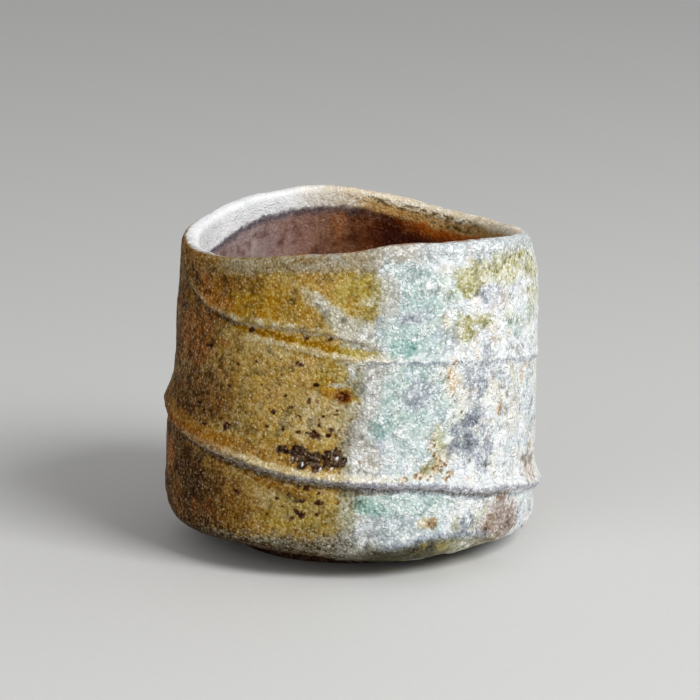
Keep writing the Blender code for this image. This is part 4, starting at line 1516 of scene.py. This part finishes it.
@dataclass
class Grid:
    """A closed surface from rows and columns of points.

    The columns go round the cup, or stop at two capped ends. The rows go once round the section, or end in
    two poles where every column has the same point.
    """

    points: Field
    capped: bool = False
    poles: bool = False
    map_margin: float = 0.004
    sharp_angle: float = math.radians(65)

    def faces(self) -> tuple[NDArray[np.int64], NDArray[np.int64]]:
        """Corners of the faces: one square for each step along a row and a column, and end caps row by row.

        Returns:
            The vertex numbers of every square's corners, and the row and column of each square of the grid.
        """
        rows, columns = self.points.shape[:2]
        row_steps = rows - 1 if self.poles else rows
        column_steps = columns - 1 if self.capped else columns
        row, column = np.meshgrid(np.arange(row_steps), np.arange(column_steps), indexing="ij")
        row, column = row.ravel(), column.ravel()
        after, right = (row + 1) % rows, (column + 1) % columns
        start, end = row * columns, after * columns
        corners = [start + column, start + right, end + right, end + column]
        squares = np.stack(corners, axis=-1)
        if self.capped:
            step = np.arange(rows // 2 - 1)
            ring = [step, step + 1, rows - 2 - step, rows - 1 - step]
            near = np.stack([part * columns for part in ring], axis=-1)
            far = np.stack([part * columns + columns - 1 for part in ring[::-1]], axis=-1)
            squares = np.concatenate([squares, near, far])
        return squares, np.stack([row, column], axis=-1)

    def map_places(self, where: NDArray[np.int64], total: int, strips: int) -> Field:
        """Places in the flat map: columns to the right and rows up, cut into strips that lie over each other.

        Args:
            where: Row and column of each square of the grid.
            total: Number of all squares, end caps included.
            strips: Number of strips.

        Returns:
            Two numbers from 0 to 1 for each corner of each square.
        """
        rows, columns = self.points.shape[:2]
        wide = math.ceil(columns / strips)
        row, column = where[:, 0], where[:, 1]
        strip = column // wide
        across = (column % wide)[:, None] + np.array([0, 1, 1, 0])
        along = row[:, None] + np.array([0, 0, 1, 1])
        margin, room = self.map_margin, 1 - 2 * self.map_margin
        places = np.full((total, 4, 2), margin / 4)
        places[: len(row), :, 0] = margin + room * across / wide
        places[: len(row), :, 1] = (strip[:, None] + margin + room * along / rows) / strips
        return places

    def mesh(self, name: str, fired: Fired, strips: int) -> bpy.types.Mesh:
        """Makes the mesh with its colours and its map.

        Args:
            name: Name of the mesh.
            fired: Colours and surface of each point.
            strips: Strips in its flat map.

        Returns:
            The new mesh.
        """
        squares, where = self.faces()
        mesh = bpy.data.meshes.new(name)
        mesh.vertices.add(self.points.shape[0] * self.points.shape[1])
        mesh.vertices.foreach_set("co", self.points.astype(np.float32).ravel())
        mesh.loops.add(squares.size)
        mesh.loops.foreach_set("vertex_index", squares.astype(np.int32).ravel())
        mesh.polygons.add(len(squares))
        mesh.polygons.foreach_set("loop_start", np.arange(0, squares.size, 4, dtype=np.int32))
        mesh.update(calc_edges=True)
        colour = mesh.attributes.new(COLOUR, "FLOAT_COLOR", "POINT")
        rgba = np.concatenate([fired.colour, np.ones((*fired.colour.shape[:-1], 1))], axis=-1)
        colour.data.foreach_set("color", rgba.astype(np.float32).ravel())
        surface = mesh.attributes.new(SURFACE, "FLOAT_VECTOR", "POINT")
        surface.data.foreach_set("vector", fired.surface.astype(np.float32).ravel())
        flat = mesh.uv_layers.new(name="OFBake")
        flat.data.foreach_set("uv", self.map_places(where, len(squares), strips).astype(np.float32).ravel())
        return mesh

    def piece(self, name: str, fired: Fired, coat: Coat, strips: int = 2) -> bpy.types.Object:
        """Makes the piece: its mesh, welded at the poles and smoothed, with its finish.

        Args:
            name: Name of the piece.
            fired: Colours and surface of each point.
            coat: Its finish.
            strips: Strips in its flat map.

        Returns:
            The new object.
        """
        mesh = self.mesh(name, fired, strips)
        if self.poles:
            weld(mesh)
        mesh.validate(clean_customdata=False)
        mesh.shade_smooth()
        mesh.set_sharp_from_angle(angle=self.sharp_angle)
        mesh.materials.append(coat.value.material())
        piece = bpy.data.objects.new(name, mesh)
        bpy.context.scene.collection.objects.link(piece)
        return piece


def weld(mesh: bpy.types.Mesh) -> None:
    """Joins the points that lie together at a pole.

    Args:
        mesh: The mesh to weld.
    """
    work = bmesh.new()
    work.from_mesh(mesh)
    bmesh.ops.remove_doubles(work, verts=work.verts, dist=1e-7)
    work.to_mesh(mesh)
    work.free()


def round_turns(columns: int) -> Field:
    """Even places round the cup, in turns."""
    return np.arange(columns) / columns


def register(piece: bpy.types.Object, node: str) -> None:
    """Puts a piece on the cup's body in place of a CAD node, and reports it.

    Args:
        piece: The piece.
        node: The node that it stands for.
    """
    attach(piece, "root")
    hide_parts(node)
    LOG.info("%s: %d faces, stands for %s", piece.name, len(piece.data.polygons), node)


@dataclass
class OuterCoat:
    """The ash coat on the outside, as two closed rings of shell that meet at one height."""

    form: CupForm
    columns: int = 800
    slope_rows: int = 10
    arc_rows: int = 20
    low_rows: int = 84
    high_rows: int = 98
    meeting: float = 0.0290
    depth: float = 0.00085

    def lower(self) -> bpy.types.Object:
        """From the coat's edge under the cup, round the lower edge and up the wall.

        Returns:
            The piece.
        """
        form, turns = self.form, round_turns(self.columns)
        front = Skin.joined(
            form.base(turns, self.slope_rows, self.arc_rows),
            form.wall(turns, form.base_top, self.meeting, self.low_rows),
        )
        back = Skin.joined(form.base(turns, 2, 4), form.wall(turns, form.base_top, self.meeting, 3))
        return self.ring("ash_coat_lower", front, back)

    def upper(self) -> bpy.types.Object:
        """From there up to the rim's shoulder.

        Returns:
            The piece.
        """
        turns = round_turns(self.columns)
        shoulder = self.form.shoulder(turns[None, :])
        sides = [self.form.wall(turns, self.meeting, shoulder, rows) for rows in (self.high_rows, 6)]
        return self.ring("ash_coat_upper", *sides)

    def ring(self, name: str, skin: Skin, back: Skin) -> bpy.types.Object:
        """One ring: the outer side with all its relief, and an inner side at one depth under the plain form.

        Args:
            name: Name of the piece.
            skin: Its plain outer side.
            back: The same stretch in a few rows, for its inner side.

        Returns:
            The piece.
        """
        site, back = Site.of(self.form, skin), back.reversed()
        front = self.form.lifted(skin, RELIEF.of(self.form, skin, site))
        behind = self.form.lifted(back, -self.depth)
        front[..., 2] += RELIEF.sag(site)
        behind[..., 2] += RELIEF.sag(Site.of(self.form, back))
        fired = Fired.joined(AshPaint(site).fire(), Fired.hidden(Tone.BROWN, behind))
        return Grid(np.concatenate([front, behind])).piece(name, fired, Coat.ASH)


@dataclass
class FrontRun:
    """The thick run of melted ash down the front, which lies on the coat and thins out into it."""

    form: CupForm
    columns: int = 120
    slope_rows: int = 8
    arc_rows: int = 18
    wall_rows: int = 190
    first: float = 0.222
    last: float = 0.362
    depth: float = 0.00045
    roughness: float = 0.85

    def build(self) -> bpy.types.Object:
        """The coat's surface raised by the run's thickness, over a second side inside the coat.

        Returns:
            The piece.
        """
        turns = np.linspace(self.first, self.last, self.columns)
        skin = self.form.outside(turns, self.slope_rows, self.arc_rows, self.wall_rows)
        site = Site.of(self.form, skin)
        relief = RELIEF.of(self.form, skin, site)
        sides = [self.form.lifted(skin, relief + lift) for lift in (RELIEF.run(site), -self.depth)]
        for side in sides:
            side[..., 2] += RELIEF.sag(site)
        fired = AshPaint(site).fire()
        surface = fired.surface * np.array([self.roughness, 1.0, 1.0])
        both = Fired.joined(Fired(fired.colour, surface), Fired(fired.colour[::-1], surface[::-1]))
        grid = Grid(np.concatenate([sides[0], sides[1][::-1]]), capped=True)
        return grid.piece("ash_run_front", both, Coat.RUN, strips=1)


@dataclass
class Lip:
    """The pale ash coat over the rim and in a band inside it, worn along the front of the rim."""

    form: CupForm
    columns: int = 520
    crown_rows: int = 26
    band_rows: int = 26
    depth: float = 0.0006

    BORDER_TURNS: ClassVar[tuple[float, ...]] = (0.0, 0.05, 0.10, 0.15, 0.35, 0.46, 0.55, 0.90, 1.0)
    BORDER_ANGLES: ClassVar[tuple[float, ...]] = (72, 84, 105, 126, 128, 105, 50, 50, 72)

    def skin(self, turns: Field, crown_rows: int, band_rows: int) -> Skin:
        """Over the rim and down inside."""
        return Skin.joined(self.form.over_rim(turns, crown_rows), self.form.inside_band(turns, band_rows))

    def fired(self, skin: Skin, site: Site) -> Fired:
        """The outside's colours, which give way to the inside's at an angle over the rim, and the worn line.

        Args:
            skin: The plain visible side.
            site: Where its vertices are.

        Returns:
            The colours with roughness, grain and sparkle.
        """
        outer, inner = AshPaint(site).fire(), InsidePaint(site).fire()
        angle = np.degrees(np.arctan2(skin.up, skin.out))
        border = np.interp(site.turn, self.BORDER_TURNS, self.BORDER_ANGLES)
        crumbs = lattice_noise(site.points, 0.5 * MM, 291)
        share = ease((angle - border + 5 * site.fine + 5 * crumbs) / 45 + 0.5)
        worn = stretch(site.turn, 0.20, 0.36, 0.05) * (1 - ease((np.abs(angle - 96) - 18) / 10))
        colour = blend(outer.colour, inner.colour, share)
        colour = blend(colour, linear(Tone.FLAME.rgb), 0.75 * worn * ease(site.fine + 0.6))
        return Fired(colour, blend(outer.surface, inner.surface, share))

    def build(self) -> bpy.types.Object:
        """The visible side with its lumps, and a plain side under it.

        Returns:
            The piece.
        """
        turns = round_turns(self.columns)
        skin = self.skin(turns, self.crown_rows, self.band_rows)
        site = Site.of(self.form, skin)
        front = self.form.lifted(skin, RELIEF.lumps(site))
        behind = self.form.lifted(self.skin(turns, 8, 6).reversed(), -self.depth)
        fired = Fired.joined(self.fired(skin, site), Fired.hidden(Tone.BROWN, behind))
        return Grid(np.concatenate([front, behind])).piece("lip_frost_band", fired, Coat.LIP, strips=4)


@dataclass
class Liner:
    """The dark coat on the wall and floor inside: a closed shell with a pole in the middle of each side."""

    form: CupForm
    columns: int = 360
    wall_rows: int = 90
    arc_rows: int = 18
    floor_rows: int = 36
    depth: float = 0.0006
    ring_pitch: float = 5.5
    ring_depth: float = 0.14

    def build(self) -> bpy.types.Object:
        """The inside with its lumps and shallow throwing rings, and a plain side under it.

        Returns:
            The piece.
        """
        turns = round_turns(self.columns)
        skin = self.form.inside(turns, self.wall_rows, self.arc_rows, self.floor_rows)
        site = Site.of(self.form, skin)
        rings = wave(site.height / self.ring_pitch + site.turn) * self.ring_depth * MM
        rings = rings * ease((site.below_rim - 9) / 8) * ease(skin.radius / (6 * MM))
        front = self.form.lifted(skin, RELIEF.lumps(site) + rings)
        behind = self.form.lifted(self.form.inside(turns, 12, 6, 6).reversed(), -self.depth)
        fired = Fired.joined(Fired.hidden(Tone.LINER, behind), InsidePaint(site).fire())
        grid = Grid(np.concatenate([behind, front]), poles=True)
        return grid.piece("liner_glaze_inside", fired, Coat.LINER)


@dataclass
class Underside:
    """The bare floor slab, with the marks of its turning, and the foot ring under it."""

    form: CupForm
    columns: int = 300
    middle_rows: int = 44
    slope_rows: int = 10
    arc_rows: int = 10
    seat: float = 0.0001
    eased: float = 0.0005
    mark_pitch: float = 0.0019
    mark_depth: float = 0.00010

    @staticmethod
    def fired(points: Field) -> Fired:
        """Bare clay: brown, kept dark as partly painted shade, with paler and darker clouds and dark grit.

        Args:
            points: The piece's points.

        Returns:
            The colours with roughness, grain and sparkle.
        """
        cloud = layered_noise(points, 5 * MM, 301)
        fleck, lot = cell_noise(points, 1.2 * MM, 311)
        colour = np.broadcast_to(Tone.CLAY.rgb, points.shape)
        colour = blend(colour, Tone.CLAY_PALE.rgb, 0.6 * ease(cloud))
        colour = blend(colour, Tone.CLAY_DARK.rgb, 0.7 * ease(-cloud))
        colour = blend(colour, Tone.DARK_UMBER.rgb, 0.7 * (1 - ease((fleck - 0.12) / 0.12)) * (lot > 0.6))
        return Fired.of(colour, 0.85, 0.5, 0.15)

    def slab(self) -> bpy.types.Object:
        """From the middle of the underside out to the clay's lower edge, and back in over its hidden top.

        Returns:
            The piece.
        """
        form, turns = self.form, round_turns(self.columns)
        turn = turns[None, :]
        share = np.linspace(0, 1, self.middle_rows, endpoint=False)[:, None]
        middle = skin_of(turn, form.coat_edge * share, form.slab_bottom, 0.0, -1.0)
        edge = form.base(turns, self.slope_rows, self.arc_rows)
        reach = (form.radius - form.clay_depth - 0.3 * MM) * np.linspace(1, 0, 6)[:, None]
        lid = skin_of(turn, reach, form.floor_height - form.clay_depth, 0.0, 1.0)
        marks = wave(middle.radius / self.mark_pitch - middle.turn) * ease(middle.radius / (2 * MM))
        marks = (marks + layered_noise(form.lifted(middle, 0.0), 1.6 * MM, 321, 2)) * self.mark_depth
        sides = [form.lifted(middle, marks), form.lifted(edge, -form.clay_depth), form.lifted(lid, 0.0)]
        points = np.concatenate(sides)
        return Grid(points, poles=True).piece("floor_slab_bare", self.fired(points), Coat.CLAY)

    def section(self) -> Field:
        """The ring's four-sided section: a curve of six points at each corner, and points on each side.

        Returns:
            Radii and heights, once round the section.
        """
        form, top = self.form, self.form.slab_bottom + self.seat
        inner, outer, flare = form.foot_radius - form.foot_width, form.foot_radius, form.foot_flare
        corners = np.array([(inner, 0.0), (outer, 0.0), (outer + flare, top), (inner - flare, top)])
        before, after = (np.roll(corners, step, axis=0) - corners for step in (1, -1))
        before /= np.linalg.norm(before, axis=1, keepdims=True)
        after /= np.linalg.norm(after, axis=1, keepdims=True)
        share = np.linspace(0, 1, 6)[None, :, None]
        eased = before[:, None] * (1 - share) ** 2 + after[:, None] * share**2
        eased = corners[:, None] + self.eased * eased
        start, end = eased[:, -1:], np.roll(eased[:, :1], -1, axis=0)
        sides = start + (end - start) * np.linspace(0, 1, 10)[None, 1:-1, None]
        return np.concatenate([eased, sides], axis=1).reshape(-1, 2)

    def ring(self) -> bpy.types.Object:
        """The foot ring: its section carried round, with grit on its sides.

        Returns:
            The piece.
        """
        section = self.section()
        points = self.form.place(round_turns(self.columns)[None, :], section[:, :1], section[:, 1:])
        grit = layered_noise(points, 1.4 * MM, 331, 2) * 0.06 * MM * ease(section[:, 1:] / (0.4 * MM))
        outward = points * np.array([1.0, 1.0, 0.0])
        outward = outward / np.linalg.norm(outward, axis=-1, keepdims=True)
        points = points + outward * grit[..., None]
        return Grid(points).piece("foot_ring_turned", self.fired(points), Coat.CLAY)


# The room


@dataclass
class Room:
    """The floor, the light and the camera."""

    aim: tuple[float, float, float] = (-0.0004, 0.0, 0.033)
    distance: float = 0.600
    elevation: float = math.radians(12.5)
    lens: float = 176.8
    sensor: float = 36.0
    floor_half: float = 6.0
    floor_colour: tuple[float, float, float] = (0.72, 0.72, 0.71)
    sky: float = 0.36

    def floor(self) -> None:
        """A large plain pale floor that the cup stands on."""
        half = self.floor_half
        mesh = bpy.data.meshes.new("floor")
        corners = [(-half, -half, 0), (half, -half, 0), (half, half, 0), (-half, half, 0)]
        mesh.from_pydata(corners, [], [(0, 1, 2, 3)])
        bench = Bench("floor_paper")
        noise = bench.add("TexNoise", {"Vector": bench.add("TexCoord").outputs["Object"], "Scale": 900.0})
        ramp = bench.add("MapRange", {"Value": noise.outputs["Fac"], "To Min": 0.97, "To Max": 1.03})
        shade = bench.add("VectorMath", {0: self.floor_colour, "Scale": ramp.outputs[0]}, operation="SCALE")
        bench.feed(bench.shader, {"Base Color": shade.outputs[0], "Roughness": 0.75})
        mesh.materials.append(bench.material)
        floor = bpy.data.objects.new("floor", mesh)
        bpy.context.scene.collection.objects.link(floor)

    def lamp(self, name: str, place: tuple[float, float, float], size: float, watts: float) -> None:
        """A square soft lamp that faces the cup.

        Args:
            name: Name of the lamp.
            place: Where it is.
            size: Length of its sides.
            watts: Its power.
        """
        light = bpy.data.lights.new(name, "AREA")
        light.shape = "SQUARE"
        light.size = size
        light.energy = watts
        lamp = bpy.data.objects.new(name, light)
        lamp.location = place
        self.turn_to_cup(lamp)
        bpy.context.scene.collection.objects.link(lamp)

    def turn_to_cup(self, thing: bpy.types.Object) -> None:
        """Turns a lamp or a camera to look at the middle of the cup."""
        way = Vector(self.aim) - Vector(thing.location)
        thing.rotation_euler = way.to_track_quat("-Z", "Y").to_euler()

    def light(self) -> None:
        """An even sky, a soft key from the upper right and a weak fill from the left."""
        world = bpy.data.worlds.new("studio")
        world.use_nodes = True
        back = world.node_tree.nodes["Background"]
        back.inputs["Color"].default_value = (1.0, 1.0, 1.0, 1.0)
        back.inputs["Strength"].default_value = self.sky
        bpy.context.scene.world = world
        self.lamp("key", (0.55, -0.52, 0.66), 0.45, 7.6)
        self.lamp("fill", (-0.70, -0.75, 0.45), 0.7, 1.2)

    def camera(self) -> None:
        """The camera at the photograph's viewing angle."""
        data = bpy.data.cameras.new("camera")
        data.lens = self.lens
        data.sensor_width = self.sensor
        data.clip_start = 0.01
        camera = bpy.data.objects.new("camera", data)
        x, y, z = self.aim
        back = self.distance * math.cos(self.elevation)
        camera.location = (x, y - back, z + self.distance * math.sin(self.elevation))
        self.turn_to_cup(camera)
        bpy.context.scene.collection.objects.link(camera)
        bpy.context.scene.camera = camera

    def build(self) -> None:
        """Everything round the cup, shown as it is written."""
        bpy.context.scene.view_settings.view_transform = "Standard"
        self.floor()
        self.light()
        self.camera()


def dress_hidden_wall() -> None:
    """Gives the clay wall, which the coats hide, brown clay clouds of its own."""
    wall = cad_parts["clay_wall"]
    bench = Bench("wall_stoneware")
    place = bench.add("TexCoord").outputs["Object"]
    noise = bench.add("TexNoise", {"Vector": place, "Scale": 1 / (1.2 * MM)})
    ramp = bench.add("ValToRGB", {0: noise.outputs["Fac"]})
    for element, tone in zip(ramp.color_ramp.elements, (Tone.CLAY_DARK, Tone.CLAY_PALE)):
        element.color = (*linear(tone.rgb), 1.0)
    bench.feed(bench.shader, {"Base Color": ramp.outputs[0], "Roughness": 0.85})
    wall.data.materials.clear()
    wall.data.materials.append(bench.material)
    LOG.info("clay_wall: carried over, inside the coats")


def main() -> None:
    """Builds the room and the cup's pieces in order."""
    logging.basicConfig(level=logging.INFO, format="%(message)s")
    Room().build()
    form = CupForm()
    coat = OuterCoat(form)
    register(coat.lower(), "ash_coat")
    register(coat.upper(), "ash_coat")
    register(FrontRun(form).build(), "ash_run")
    register(Lip(form).build(), "lip_coat")
    register(Liner(form).build(), "liner_coat")
    under = Underside(form)
    register(under.slab(), "clay_floor")
    register(under.ring(), "foot_ring")
    dress_hidden_wall()


if __name__ == "__main__":
    main()
